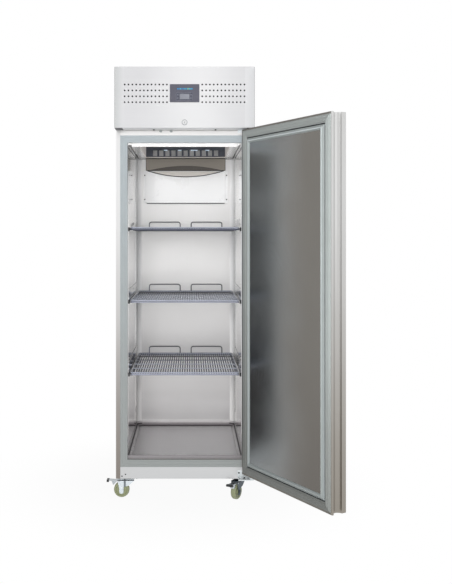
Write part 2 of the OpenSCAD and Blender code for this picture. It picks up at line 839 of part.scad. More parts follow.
// A pipe that rises from a, crosses along Y and drops or enters at b
module pipe_run(a, b, z, r) {
  bend = 3 * r;
  dy = b[1] - a[1];
  s = dy > 0 ? 1 : -1;
  bar_z(a, r, z - bend - a[2]);
  bar_z(b, r, z - bend - b[2]);
  bar_y([a[0], min(a[1], b[1]) + bend, z], r, abs(dy) - 2 * bend);
  translate([a[0], a[1] + s * bend, z - bend]) rotate([90, 0, 90]) rotate([0, 0, s > 0 ? 90 : 0])
    rotate_extrude(angle = 90) translate([bend, 0]) circle(r);
  translate([b[0], b[1] - s * bend, z - bend]) rotate([90, 0, 90]) rotate([0, 0, s > 0 ? 0 : 90])
    rotate_extrude(angle = 90) translate([bend, 0]) circle(r);
}

// Copper lines from the compressor to the condenser and to the evaporator housing
module pipework() {
  top = total_h - 34;
  z = deck_z + comp_h + stub_h;
  color(copper) {
    pipe_run([comp_x, comp_y + stub_y, z], [comp_x, evap_step_y + 40, evap_top_z], top, pipe_r + 2);
    pipe_run([comp_x, comp_y - stub_y, z], [comp_x, cond_y0 + cond_t / 2, deck_z + cond_h], top, pipe_r);
  }
}

module control_box() {
  color(grey_plastic) difference() {
    soft_slab([-in_x - 20, comp_y - 20, deck_z], [-in_x + 90, comp_y + 90, deck_z + 120], 4);
    for (z = [deck_z + 40, deck_z + 80])
      bar_y([-in_x + 35, comp_y - 21, z], 8, 4);
  }
}

// Cable gland at the back: a threaded body, a nut inside and a domed cap
module cable_gland() {
  color(black_plastic) translate([gland_x, y_back, gland_z]) rotate([-90, 0, 0]) difference() {
    union() {
      translate([0, 0, -14]) cylinder(h = 14, r = 8.8);
      translate([0, 0, -sheet - 7]) cylinder(h = 7, r = 14, $fn = 6);
      cylinder(h = 6, r = 14, $fn = 6);
      translate([0, 0, 6]) rotate_extrude()
        polygon([[0, 0], [12, 0], [12, 5], [10, 9], [0, 10]]);
    }
    translate([0, 0, -15]) cylinder(h = gland_l + 2, r = gland_bore);
  }
}

// Magnetic door sensor and its blank twin under the hood
module door_sensor() {
  z = hood_z0 - 5.5;
  color(grey_plastic) for (x = [-115, -65]) {
    translate([x, y_front, z]) rotate([90, 0, 0]) linear_extrude(3) soft_rect([-7, -5], [7, 5], 4.5);
    bar_y([x, y_front - 4, z], 2.5, 2);
  }
}

// The tongue of a hinge with its round end and its pin: square at the bottom, sloped at the top
module hinge_plate(z0, pin_up) {
  z1 = z0 + hinge_t;
  y_tip = pin_y - hinge_tongue_r;
  edge = pin_up ? [[in_x - 20, y_tip], [pin_x, y_tip]] : [[in_x - 20, y_front - 14], [pin_x - 10, pin_y - 8]];
  translate([0, 0, z0]) linear_extrude(hinge_t) union() {
    polygon(concat([[in_x - 20, y_front]], edge, [
      [pin_x, pin_y], [pin_x + hinge_tongue_r, pin_y], [pin_x + hinge_tongue_r, y_front - 12],
      [frame_x + 12, y_front]
    ]));
    translate([pin_x, pin_y]) circle(hinge_tongue_r);
  }
  if (pin_up) bar_z([pin_x, pin_y, z1 - 1], pin_r, door_z0 + bush_l - 1 - z1);
  else bar_z([pin_x, pin_y, door_z1 - bush_l + 2], pin_r, z0 + 1 - door_z1 + bush_l - 2);
}

module bottom_hinge() {
  z = bottom_hinge_z;
  color(zinc) {
    difference() {
      hinge_plate(z, true);
      bar_z([pin_x - 34, pin_y + 15, z - 1], 4, hinge_t + 2);
    }
    difference() {
      block([in_x - 20, y_front - hinge_flange_t, z], [frame_x + 12, y_front, z + hinge_flange_h]);
      for (x = [in_x - 14, in_x + 12])
        bar_y([x, y_front - 4, z + hinge_flange_h / 2 + 3], 3, 6);
    }
    bar_z([pin_x, pin_y, z + hinge_t - 1], 9, door_z0 - seat_gap - z - hinge_t + 1);
  }
}

module top_hinge() {
  color(zinc) {
    hinge_plate(top_hinge_z, false);
    block([in_x - 20, y_front - hinge_flange_t, door_z1 - door_edge + 1.5],
      [frame_x + 12, y_front, top_hinge_z + 1]);
  }
}

// Fixed body of the lock, with the guide that its bolt runs in
module lock_housing() {
  color(zinc) {
    difference() {
      union() {
        bar_y([0, y_hood - 2, lock_z], lock_r, 2);
        bar_y([0, y_hood - 1, lock_z], lock_r - 1.2, lock_back - y_hood);
      }
      bar_y([0, y_hood - 3, lock_z], barrel_r + run_gap, lock_back - y_hood + 8);
    }
    difference() {
      block([-bolt_w / 2 - 4, bolt_y - 3, hood_z0 + sheet],
        [bolt_w / 2 + 4, bolt_y + bolt_t + 3, hood_z0 + 9]);
      block([-bolt_w / 2 - 0.1, bolt_y - 0.1, hood_z0],
        [bolt_w / 2 + 0.1, bolt_y + bolt_t + 0.1, hood_z0 + 10]);
    }
  }
}

// Turning barrel with its key slot and its crank pin
module lock_barrel() {
  y1 = lock_back - 1 + seat_gap;
  color(steel) difference() {
    union() {
      bar_y([0, y_hood - 2.5, lock_z], barrel_r, y1 + 1 - y_hood + 2.5);
      bar_y([0, y1, lock_z], crank_r + 3, crank_t);
      bar_y([crank_r / sqrt(2), y1 + 1, lock_z + crank_r / sqrt(2)], crank_pin_r, bolt_y + bolt_t - y1 - 1.5);
    }
    block([-1, y_hood - 4, lock_z - 4], [1, y_hood + 4, lock_z + 4]);
  }
}

// Flat bolt that the crank pin drives down into the door's top edge
module lock_bolt() {
  pz = lock_z + crank_r / sqrt(2);
  slot = crank_pin_r + 0.5;
  color(zinc) difference() {
    union() {
      block([-bolt_w / 2, bolt_y, hood_z0 + 0.5], [bolt_w / 2, bolt_y + bolt_t, pz + 8]);
      block([-bolt_w / 2, bolt_y, pz - 8], [crank_r + 6, bolt_y + bolt_t, pz + 8]);
    }
    block([crank_r / sqrt(2) - slot - 0.5, bolt_y - 1, pz - slot],
      [crank_r + slot + 0.5, bolt_y + bolt_t + 1, pz + slot]);
  }
}

// A pan-head screw along Y, with its head towards the front
module front_screw(p, r) {
  difference() {
    bar_y(p, r, 1.6);
    block([p[0] - r * 0.7, p[1] - 1, p[2] - 0.4], [p[0] + r * 0.7, p[1] + 0.7, p[2] + 0.4]);
  }
}

module cabinet_screws() {
  color(zinc) {
    for (x = [-frame_x + 8, -frame_x + 25])
      front_screw([x, y_front - 1.6, z_base + (x < -frame_x + 10 ? 12 : 21)], 3);
    for (x = [in_x - 14, in_x + 12])
      front_screw([x, y_front - hinge_flange_t - 1.6, bottom_hinge_z + hinge_flange_h / 2 + 3], 4);
    both_sides() for (z = [cover_z0 + 20, cover_z1 - 24.5])
      front_screw([duct_x + 8, y_rear - sheet - 1.6, z], 3.5);
    both_sides() bar_z([147, y_front - 27, hood_z0 - 4], 4, 4);
    both_sides() for (z = [z_roof + 30, total_h - 40])
      translate([half_w - 20, y_back + 1.6, z]) mirror([0, 1, 0]) front_screw([0, 0, 0], 4);
  }
}

// One plate with its bolts, ball race and swivel pin
module caster_plate() {
  z0 = caster_h - plate_t;
  soft_slab([-plate_l / 2, -plate_w / 2, z0], [plate_l / 2, plate_w / 2, caster_h], 6);
  for (x = [-plate_l / 2 + 9, plate_l / 2 - 9])
    for (y = [-plate_w / 2 + 9, plate_w / 2 - 9])
      translate([x, y, z0 - 4]) cylinder(h = 4.5, r = 6.5, $fn = 6);
  bar_z([0, 0, z0 - race_t], race_r, race_t + 0.5);
  bar_z([0, 0, crown_z0 - 1], king_r, crown_t + race_gap + 2);
  bar_z([0, 0, crown_z0 - 4 - race_gap], 8.5, 4);
}

module caster_plates() {
  color(zinc) for (p = caster_pos)
    translate([p[0], p[1], 0]) caster_plate();
}

// A leg of the fork, side on: a tapering plate with a round end about the axle
module leg_plan() {
  polygon([
    [-23, crown_z1 - 4], [crown_x, crown_z1 - 4], [crown_x, crown_z0 - 4], [trail + 11, wheel_r + 8],
    [trail + 11, wheel_r - 8], [trail - 10, wheel_r - 8], [trail - 10, wheel_r + 14],
    [3, crown_z0 - 27], [-23, crown_z0 - 4]
  ]);
  translate([trail + 0.5, wheel_r - 8]) circle(10.5);
}

// Fork with its bored crown, two legs and the axle bolt with its nut; the braked one has pedal bores
module fork(braked) {
  color(zinc) {
    difference() {
      union() {
        bar_z([0, 0, crown_z0 + 3], race_r, crown_t - 3);
        block([-20, -leg_y - leg_t, crown_z0], [crown_x, leg_y + leg_t, crown_z0 + 4]);
        for (y = [-leg_y - leg_t, leg_y])
          translate([0, y + leg_t, 0]) rotate([90, 0, 0]) linear_extrude(leg_t) difference() {
            leg_plan();
            if (braked) translate([pedal_x, pedal_z]) circle(pedal_pin_r + run_gap);
          }
      }
      bar_z([0, 0, crown_z0 - 1], king_r + run_gap, crown_t + 2);
    }
    bar_y([trail, -leg_y - leg_t - 3, wheel_r], axle_r, 2 * (leg_y + leg_t) + 6);
    for (y = [-leg_y - leg_t - 4, leg_y + leg_t])
      translate([trail, y, wheel_r]) rotate([-90, 0, 0]) cylinder(h = 4, r = 7.5, $fn = 6);
  }
}

// Solid nylon wheel with a crowned tread and dished sides
module wheel() {
  w = wheel_w / 2;
  r = wheel_r;
  color([0.72, 0.76, 0.60]) translate([trail, 0, r]) rotate([90, 0, 0]) rotate_extrude()
    polygon([
      [axle_r + run_gap, -leg_y + seat_gap], [11, -leg_y + seat_gap], [11, -w + 4], [r - 12, -w + 4],
      [r - 10, -w], [r - 4, -w], [r - 1, -w + 3], [r, -w + 7], [r, w - 7], [r - 1, w - 3], [r - 4, w],
      [r - 10, w], [r - 12, w - 4], [11, w - 4], [11, leg_y - seat_gap], [axle_r + run_gap, leg_y - seat_gap]
    ]);
}

// Brake pedal: a bent plate with its shoe on a cross pin between the fork's legs, and a black toe cap
module brake_pedal() {
  x = pedal_x;
  z = pedal_z;
  w = leg_y - 2;
  color(zinc) {
    translate([0, w, 0]) rotate([90, 0, 0]) linear_extrude(2 * w)
      polygon([
        [x - 5, z - 3.5], [x + 6, z - 3.5], [pedal_reach - 11, z + 1.5], [pedal_reach - 11, z + 4.5],
        [x + 5, z + 1], [x + 3, z + 3.5], [x - 5, z + 3.5]
      ]);
    translate([0, w - 2, 0]) rotate([90, 0, 0]) linear_extrude(2 * w - 4)
      polygon([[x + 12, z - 2.5], [x + 25, z - 18], [x + 30, z - 20], [x + 37, z + 0.5]]);
    bar_y([x, -leg_y - leg_t - 0.5, z], pedal_pin_r, 2 * (leg_y + leg_t) + 1);
  }
  color(black_plastic)
    block([pedal_reach - 11, -17, z - 4.3], [pedal_reach, 17, z + 4.7]);
}

module place_caster(i) {
  translate([caster_pos[i][0], caster_pos[i][1], 0]) rotate([0, 0, caster_turn[i]]) children();
}

// Turns what is drawn on the closed door to the angle at which the door stands
module hang_door() {
  translate([pin_x, pin_y, 0]) rotate([0, 0, door_open]) translate([-pin_x, -pin_y, 0]) children();
}

// The finger grip that runs down the whole of the door's free edge, grown by g
module grip_groove(g) {
  bar_z([grip_x, grip_y, door_z0 - 1], grip_r + g, door_h + 2);
}

// The bores and the lock slot in the door's ends, grown by g
module door_pockets(g) {
  for (z = [door_z0 - 1, door_z1 - bush_l - g])
    bar_z([pin_x, pin_y, z], bush_r + g, bush_l + 1 + g);
}

module strike_pocket(g) {
  block([-strike_w / 2 - g, bolt_y + bolt_t / 2 - strike_t / 2 - g, door_z1 - strike_h - g],
    [strike_w / 2 + g, bolt_y + bolt_t / 2 + strike_t / 2 + g, door_z1 + 1]);
}

module door_skin() {
  s = sheet;
  color(steel) hang_door() difference() {
    soft_slab([-door_x, y_face, door_z0], [door_x, y_in, door_z1], 2);
    grip_groove(0);
    difference() {
      block([-door_x + s, y_face + s, door_z0 + s], [door_x - s, y_in - s, door_z1 - s]);
      grip_groove(s);
    }
    block([-door_x + door_edge, y_in - 5, door_z0 + door_edge],
      [door_x - door_edge, y_in + 1, door_z1 - door_edge]);
    door_pockets(0);
    strike_pocket(0);
  }
}

module door_foam() {
  s = sheet;
  color(foam_colour) hang_door() difference() {
    union() {
      difference() {
        block([-door_x + s, y_face + s, door_z0 + s], [door_x - s, y_in - s, door_z1 - s]);
        block([-door_x + door_edge, y_in - frame_base, door_z0 + door_edge],
          [door_x - door_edge, y_in, door_z1 - door_edge]);
      }
      block([-inner_x, y_in - frame_base, door_z0 + border_w + rim_w],
        [inner_x, y_in + 1.8, door_z1 - border_w - rim_w]);
    }
    grip_groove(s);
    door_pockets(0);
    strike_pocket(0);
  }
}

module door_inner_panel() {
  color(dark_steel) hang_door()
    block([-inner_x, y_in + 1.8, door_z0 + border_w + rim_w],
      [inner_x, y_in + 1.8 + sheet, door_z1 - border_w - rim_w]);
}

// A mitred frame on the door's inner face, inset from the door's edge, with its back at y
module on_door(inset, k, y, t) {
  translate([-door_x + inset, y, door_z0 + inset]) mirror([0, 1, 0]) rotate([90, 0, 0])
    picture_frame(2 * (door_x - inset), door_h - 2 * inset, k, t) children();
}

// Grey plastic frame round the inner panel: gasket groove, shadow groove and raised bevelled rim
module door_inner_frame() {
  b = frame_base;
  g = gasket_w;
  k = g + rim_w;
  color(grey_plastic) hang_door() on_door(door_edge, k, y_in - b, b + rim_h)
    polygon([
      [0, 0], [k, 0], [k, b + 4], [k - 7, b + rim_h], [k - 11, b + rim_h], [g + 3, b + 1], [g + 3, b - 3],
      [g + 0.5, b - 3], [g + 0.5, b], [g / 2 + 2.5, b], [g / 2 + 2.5, b - 5], [g / 2 - 2.5, b - 5],
      [g / 2 - 2.5, b], [0, b]
    ]);
}

// Magnetic gasket: a foot in the groove, side lips and a flat magnet strip
module door_gasket() {
  g = gasket_w;
  h = gasket_h;
  color([0.60, 0.62, 0.61]) hang_door() on_door(door_edge, g, y_in - 4.8, 4.8 + h)
    translate([0, 4.8])
      polygon([
        [0, 0], [g / 2 - 2.2, 0], [g / 2 - 2.2, -4.8], [g / 2 + 2.2, -4.8], [g / 2 + 2.2, 0], [g, 0],
        [g, 1.6], [g - 3, 2.6], [g - 5, h - 1.2], [g - 9, h - 1.2], [g - 10, h], [10, h],
        [9, h - 1.2], [5, h - 1.2], [3, 2.6], [0, 1.6]
      ]);
}

module hinge_bushes() {
  color(black_plastic) hang_door() for (z = [door_z0, door_z1 - bush_l])
    difference() {
      bar_z([pin_x, pin_y, z], bush_r, bush_l);
      bar_z([pin_x, pin_y, z - 1], pin_r + run_gap, bush_l + 2);
    }
}

// A stop hoop that stands on the shelf's back bar
module hoop(x0, x1, y, z) {
  r = hoop_d / 2;
  top = z + hoop_h - r;
  for (x = [x0 + r, x1 - r])
    bar_z([x, y, z - hoop_foot], r, top - hoop_r - z + hoop_foot);
  bar_x([x0 + r + hoop_r, y, top], r, x1 - x0 - 2 * r - 2 * hoop_r);
  translate([x1 - r - hoop_r, y, top - hoop_r]) rotate([90, 0, 0])
    rotate_extrude(angle = 90) translate([hoop_r, 0]) circle(r);
  translate([x0 + r + hoop_r, y, top - hoop_r]) mirror([1, 0, 0]) rotate([90, 0, 0])
    rotate_extrude(angle = 90) translate([hoop_r, 0]) circle(r);
}

module wire_shelf(z) {
  x = shelf_w / 2;
  y0 = shelf_y0;
  y1 = shelf_y1;
  mid = rim_t / 2;
  wire_r = wire_d / 2;
  wire_pitch = (2 * x - rim_t) / (wire_n + 1);
  cross_pitch = (y1 - y0 - rim_t) / (cross_n + 1);
  zw = z - wire_r - 0.8;
  zc = zw - wire_r - cross_d / 2 + 0.5;
  color(coated_wire) {
    translate([0, 0, z - shelf_rim_h]) linear_extrude(shelf_rim_h) difference() {
      soft_rect([-x, y0], [x, y1], rim_corner);
      soft_rect([-x + rim_t, y0 + rim_t], [x - rim_t, y1 - rim_t], rim_corner - rim_t);
    }
    for (i = [1:wire_n])
      bar_y([-x + mid + i * wire_pitch, y0 + mid, zw], wire_r, y1 - y0 - rim_t, $fn = 8);
    for (i = [1:cross_n])
      bar_x([-x + mid, y0 + mid + i * cross_pitch, zc], cross_d / 2, 2 * x - rim_t, $fn = 8);
    both_sides() hoop(hoop_x0, hoop_x1, y1 - mid, z);
  }
}

outer_casing();
insulation_foam();
inner_liner();
breaker_frame();
front_rails();
base_pan();
pilasters();
shelf_slides();
slide_end_stops();
evaporator_housing();
evaporator_grille();
evaporator_coil();
duct_deflector();
duct_cover();
fan_motors();
hood_fascia();
hood_returns();
unit_side_panels();
unit_top_cover();
unit_rear_grille();
unit_chassis();
control_panel();
display_window();
compressor();
condenser_coil();
condenser_shroud();
condensate_tray();
pipework();
control_box();
cable_gland();
door_sensor();
bottom_hinge();
top_hinge();
lock_housing();
cabinet_screws();
caster_plates();
door_skin();
door_foam();
door_inner_panel();
door_inner_frame();
door_gasket();
hinge_bushes();
lock_barrel();
lock_bolt();
evaporator_fan();
condenser_fan();
wire_shelf(shelf_z[2]);  // shelf_top
wire_shelf(shelf_z[1]);  // shelf_middle
wire_shelf(shelf_z[0]);  // shelf_bottom
place_caster(0) fork(true);  // fork_front_left
place_caster(1) fork(true);  // fork_front_right
place_caster(2) fork(false);  // fork_rear_left
place_caster(3) fork(false);  // fork_rear_right
place_caster(0) wheel();  // wheel_front_left
place_caster(1) wheel();  // wheel_front_right
place_caster(2) wheel();  // wheel_rear_left
place_caster(3) wheel();  // wheel_rear_right
place_caster(0) brake_pedal();  // brake_pedal_left
place_caster(1) brake_pedal();  // brake_pedal_right
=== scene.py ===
"""Looks of a commercial upright freezer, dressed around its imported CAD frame."""

from __future__ import annotations

import json
import logging
import math
from dataclasses import dataclass, field
from enum import Enum, IntEnum
from typing import Callable, Iterable, Sequence

import bmesh
import bpy
from mathutils import Matrix, Vector

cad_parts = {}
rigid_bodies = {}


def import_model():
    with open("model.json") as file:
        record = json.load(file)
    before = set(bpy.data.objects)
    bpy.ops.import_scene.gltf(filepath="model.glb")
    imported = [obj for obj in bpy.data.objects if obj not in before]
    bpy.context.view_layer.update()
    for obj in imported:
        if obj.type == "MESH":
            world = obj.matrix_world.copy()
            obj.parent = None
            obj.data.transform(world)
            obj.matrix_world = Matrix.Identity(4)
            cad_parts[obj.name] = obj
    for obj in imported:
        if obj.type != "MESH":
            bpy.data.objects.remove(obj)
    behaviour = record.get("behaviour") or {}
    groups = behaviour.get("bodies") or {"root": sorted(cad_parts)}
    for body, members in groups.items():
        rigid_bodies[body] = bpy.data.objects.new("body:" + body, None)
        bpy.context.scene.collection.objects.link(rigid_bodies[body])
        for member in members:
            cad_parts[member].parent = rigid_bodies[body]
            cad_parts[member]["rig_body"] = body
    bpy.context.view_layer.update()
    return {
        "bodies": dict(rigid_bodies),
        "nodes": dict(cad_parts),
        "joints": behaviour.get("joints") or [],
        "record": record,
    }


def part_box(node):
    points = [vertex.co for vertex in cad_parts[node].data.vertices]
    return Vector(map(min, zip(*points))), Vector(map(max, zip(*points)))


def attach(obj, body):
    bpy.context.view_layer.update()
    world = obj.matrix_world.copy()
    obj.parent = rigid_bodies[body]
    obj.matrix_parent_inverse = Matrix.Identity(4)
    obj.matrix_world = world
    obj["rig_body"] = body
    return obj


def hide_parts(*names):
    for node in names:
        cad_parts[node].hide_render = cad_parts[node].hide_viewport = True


log = logging.getLogger("freezer")

Colour = tuple[float, float, float, float]
Pair = tuple[float, float]
Point = tuple[float, float, float]
Quad = tuple[float, float, float, float]
Plane = tuple[Point, Point]
Look = tuple[str, str, str, float]
Pick = Callable[[Vector, Vector], int]
Socket = bpy.types.NodeSocket
Mesh = bmesh.types.BMesh
Vert = bmesh.types.BMVert
Edge = bmesh.types.BMEdge
Face = bmesh.types.BMFace

MM = 0.001
SIDES = (-1, 1)
MERGE_WITHIN = 0.001 * MM
FLAT_UNDER = math.radians(0.4)
SHARP_OVER = math.radians(40)
RIM_CUT = 1.8 * MM
BEND_STEPS = 6
X_AXIS: Point = (1.0, 0.0, 0.0)
Z_AXIS: Point = (0.0, 0.0, 1.0)


def tint(code: str) -> Colour:
    """Turn a six-digit screen colour into the linear colour that a shader takes.

    Args:
        code: six hexadecimal digits, red first.

    Returns:
        Linear red, green, blue and an alpha of one.
    """
    parts = []
    for i in (0, 2, 4):
        c = int(code[i : i + 2], 16) / 255
        parts.append(c / 12.92 if c <= 0.04045 else ((c + 0.055) / 1.055) ** 2.4)
    return (parts[0], parts[1], parts[2], 1.0)


def dim(colour: Colour, share: float) -> Colour:
    """Return a linear colour brought down to a share of itself."""
    red, green, blue, alpha = colour
    return (red * share, green * share, blue * share, alpha)


# ---------------------------------------------------------------- node graphs


class Graph:
    """A thin wrapper that adds and links the nodes of one tree."""

    def __init__(self, tree: bpy.types.NodeTree) -> None:
        """Hold the tree."""
        self.tree = tree

    def add(
        self, kind: str, feeds: dict[str | int, object] | None = None, **settings: object
    ) -> bpy.types.Node:
        """Add one node, set its properties and feed its inputs.

        Args:
            kind: the node's type without the ShaderNode prefix.
            feeds: input name or index to a socket or a plain value.
            **settings: properties of the node.

        Returns:
            The new node.
        """
        node = self.tree.nodes.new("ShaderNode" + kind)
        for key, value in settings.items():
            setattr(node, key, value)
        for key, value in (feeds or {}).items():
            self.feed(node.inputs[key], value)
        return node

    def feed(self, socket: Socket, value: object) -> None:
        """Link a socket or give it a plain value.

        Args:
            socket: the input to feed.
            value: another socket or a plain value.
        """
        if isinstance(value, bpy.types.NodeSocket):
            self.tree.links.new(value, socket)
        else:
            socket.default_value = value

    def remap(
        self, value: Socket, low: float = 0.0, high: float = 1.0, to_low: float = 0.0, to_high: float = 1.0
    ) -> Socket:
        """Return the value carried from one range to another and clamped."""
        feeds = {"Value": value, "From Min": low, "From Max": high, "To Min": to_low, "To Max": to_high}
        return self.add("MapRange", feeds).outputs["Result"]

    def ease(self, value: Socket, start: object, stop: object) -> Socket:
        """Return a smooth step that is 0 at the start and 1 at the stop."""
        feeds = {"Value": value, "From Min": start, "From Max": stop}
        return self.add("MapRange", feeds, interpolation_type="SMOOTHSTEP").outputs["Result"]

    def math(self, operation: str, a: object, b: object = 0.0) -> Socket:
        """Return the result of one arithmetic node."""
        return self.add("Math", {0: a, 1: b}, operation=operation).outputs[0]

    def dot(self, a: Socket, b: Socket) -> Socket:
        """Return the dot product of two vectors."""
        return self.add("VectorMath", {0: a, 1: b}, operation="DOT_PRODUCT").outputs["Value"]

    def height(self, vector: Socket) -> Socket:
        """Return the Z of a vector."""
        return self.add("SeparateXYZ", {0: vector}).outputs["Z"]

    def noise(self, vector: Socket, scale: object, detail: float, roughness: float = 0.5) -> Socket:
        """Return the value of a noise texture."""
        feeds = {"Vector": vector, "Scale": scale, "Detail": detail, "Roughness": roughness}
        return self.add("TexNoise", feeds).outputs["Fac"]

    def mix(self, factor: object, a: object, b: object) -> Socket:
        """Return a colour mixed from two colours."""
        return self.add("Mix", {0: factor, 6: a, 7: b}, data_type="RGBA").outputs[2]

    def seen(self) -> Socket:
        """Tell the eye's own rays, mirrored and through glass too, from the light's.

        Returns:
            A value that is 1 for the eye's rays and 0 for the light's.
        """
        rays = self.add("LightPath").outputs
        bent = self.math("MAXIMUM", rays["Is Glossy Ray"], rays["Is Transmission Ray"])
        return self.math("MAXIMUM", rays["Is Camera Ray"], bent)


class Effect(Enum):
    """The shared effects, each one node group."""

    GRAIN = "brushed_grain"
    CLOUD = "soft_cloud"
    FLOOR = "floor_tone"
    EDGE = "edge_wear"
    DUST = "settled_dust"
    SPANGLE = "zinc_spangle"
    PEEL = "moulded_skin"
    BAND = "painted_light_and_shade_band"


class EffectGraph(Graph):
    """The tree of one shared effect, which reads a place and its own named values."""

    def __init__(self, effect: Effect, outputs: Sequence[str], **inputs: float | Point) -> None:
        """Start the node group and name its sockets.

        Args:
            effect: which effect the group is.
            outputs: names of the values that it puts out.
            **inputs: first values of its inputs, besides the place.
        """
        tree = bpy.data.node_groups.new(effect.value, "ShaderNodeTree")
        super().__init__(tree)
        face = tree.interface
        face.new_socket(name="Vector", in_out="INPUT", socket_type="NodeSocketVector")
        for name, value in inputs.items():
            kind = "NodeSocketVector" if isinstance(value, tuple) else "NodeSocketFloat"
            face.new_socket(name=name, in_out="INPUT", socket_type=kind).default_value = value
        for name in outputs:
            face.new_socket(name=name, in_out="OUTPUT", socket_type="NodeSocketFloat")
        self.given = tree.nodes.new("NodeGroupInput").outputs
        self.results = tree.nodes.new("NodeGroupOutput").inputs
        self.place = self.given["Vector"]

    def put(self, **values: Socket) -> None:
        """Link values to the group's outputs."""
        for name, value in values.items():
            self.tree.links.new(value, self.results[name])


def build_grain() -> None:
    """Build the brushed grain: fine and broad lines along one direction."""
    g = EffectGraph(Effect.GRAIN, ("Tone", "Height"), Stretch=(1.0, 1.0, 1.0), Lines=900.0)
    flat = g.add("VectorMath", {0: g.place, 1: g.given["Stretch"]}, operation="MULTIPLY").outputs[0]
    fine = g.noise(flat, g.given["Lines"], 3.0, 0.65)
    broad = g.noise(flat, g.math("MULTIPLY", g.given["Lines"], 0.11), 2.0)
    blend = g.math("ADD", g.math("MULTIPLY", fine, 0.6), g.math("MULTIPLY", broad, 0.4))
    g.put(Tone=g.remap(blend, 0.35, 0.65), Height=fine)


def build_cloud() -> None:
    """Build the soft cloud: slow changes of tone as on wiped sheet metal."""
    g = EffectGraph(Effect.CLOUD, ("Mask",), Size=3.0, Sharpness=0.2)
    low = g.math("SUBTRACT", 0.5, g.given["Sharpness"])
    high = g.math("ADD", 0.5, g.given["Sharpness"])
    g.put(Mask=g.ease(g.noise(g.place, g.given["Size"], 4.0, 0.55), low, high))


def build_painted_floor_shade() -> None:
    """Build the painted floor shade: a mask that grows from a height down to the floor."""
    g = EffectGraph(Effect.FLOOR, ("Mask",), Top=1.5, Bottom=0.1)
    wobble = g.math("SUBTRACT", g.noise(g.place, 2.2, 1.0), 0.5)
    moved = g.math("ADD", g.height(g.place), g.math("MULTIPLY", wobble, 0.25))
    g.put(Mask=g.ease(moved, g.given["Top"], g.given["Bottom"]))


def build_edge_wear() -> None:
    """Build the edge wear: a broken mask along outer edges."""
    g = EffectGraph(Effect.EDGE, ("Mask",), Radius=0.002)
    soft = g.add("Bevel", {"Radius": g.given["Radius"]}, samples=4).outputs["Normal"]
    hard = g.add("NewGeometry").outputs["Normal"]
    edge = g.remap(g.dot(soft, hard), 0.99, 0.85)
    broken = g.remap(g.noise(g.place, 160.0, 3.0), 0.4, 0.62)
    g.put(Mask=g.math("MULTIPLY", edge, broken))


def build_dust() -> None:
    """Build the settled dust: a thin mask on what faces up."""
    g = EffectGraph(Effect.DUST, ("Mask",), Amount=0.3)
    up = g.remap(g.height(g.add("NewGeometry").outputs["Normal"]), 0.6, 1.0)
    patches = g.remap(g.noise(g.place, 30.0, 5.0), 0.35, 0.7, 0.2, 1.0)
    g.put(Mask=g.math("MULTIPLY", g.math("MULTIPLY", up, patches), g.given["Amount"]))


def build_spangle() -> None:
    """Build the zinc spangle: flat crystals of slightly different tone."""
    g = EffectGraph(Effect.SPANGLE, ("Tone", "Height"), Crystals=260.0)
    cells = g.add("TexVoronoi", {"Vector": g.place, "Scale": g.given["Crystals"]})
    tone = g.add("SeparateColor", {0: cells.outputs["Color"]}).outputs[0]
    g.put(Tone=tone, Height=g.noise(g.place, 700.0, 2.0))


def build_peel() -> None:
    """Build the moulded skin: the fine pebbling of moulded or sprayed surfaces."""
    g = EffectGraph(Effect.PEEL, ("Tone", "Height"), Pebbles=900.0)
    tone = g.remap(g.noise(g.place, 14.0, 4.0), 0.3, 0.7)
    g.put(Tone=tone, Height=g.noise(g.place, g.given["Pebbles"], 2.0))


def build_painted_band() -> None:
    """Build the painted band: a mask that is full at one place along a direction and fades on both sides;
    finishes paint highlights and shaded strips in it.
    """
    g = EffectGraph(Effect.BAND, ("Mask",), Way=X_AXIS, Middle=0.0, Reach=0.3)
    wobble = g.math("SUBTRACT", g.noise(g.place, 3.0, 2.0), 0.5)
    shift = g.math("MULTIPLY", wobble, g.math("MULTIPLY", g.given["Reach"], 0.5))
    along = g.math("ADD", g.dot(g.place, g.given["Way"]), shift)
    away = g.math("ABSOLUTE", g.math("SUBTRACT", along, g.given["Middle"]))
    g.put(Mask=g.ease(away, g.given["Reach"], 0.0))


class Brush(Enum):
    """Which way the grain of a brushed sheet runs."""

    UPRIGHT = (1.0, 1.0, 0.012)
    LEVEL = (0.012, 1.0, 1.0)
    DEEP = (1.0, 0.012, 1.0)


class MaterialGraph(Graph):
    """The tree of one material, with its Principled shader and object coordinates."""

    def __init__(self, name: str) -> None:
        """Make the material and its first nodes.

        Args:
            name: the material's name.
        """
        self.material = bpy.data.materials.new(name)
        self.material.use_nodes = True
        super().__init__(self.material.node_tree)
        self.shader = self.tree.nodes["Principled BSDF"]
        self.place = self.add("TexCoord").outputs["Object"]

    def effect(self, effect: Effect, **values: object) -> bpy.types.NodeOutputs:
        """Place a shared effect that reads the object coordinates.

        Args:
            effect: which effect.
            **values: its named inputs, besides the place.

        Returns:
            The group's outputs.
        """
        node = self.tree.nodes.new("ShaderNodeGroup")
        node.node_tree = bpy.data.node_groups[effect.value]
        self.tree.links.new(self.place, node.inputs["Vector"])
        for key, value in values.items():
            node.inputs[key].default_value = value
        return node.outputs

    def bump(self, height: Socket, strength: float, distance: float) -> None:
        """Feed the shader's normal from a height."""
        node = self.add("Bump", {"Height": height, "Strength": strength, "Distance": distance})
        self.tree.links.new(node.outputs["Normal"], self.shader.inputs["Normal"])

    def set(self, **values: object) -> None:
        """Set or link the shader's own sockets; underscores stand for spaces."""
        for key, value in values.items():
            self.feed(self.shader.inputs[key.replace("_", " ")], value)


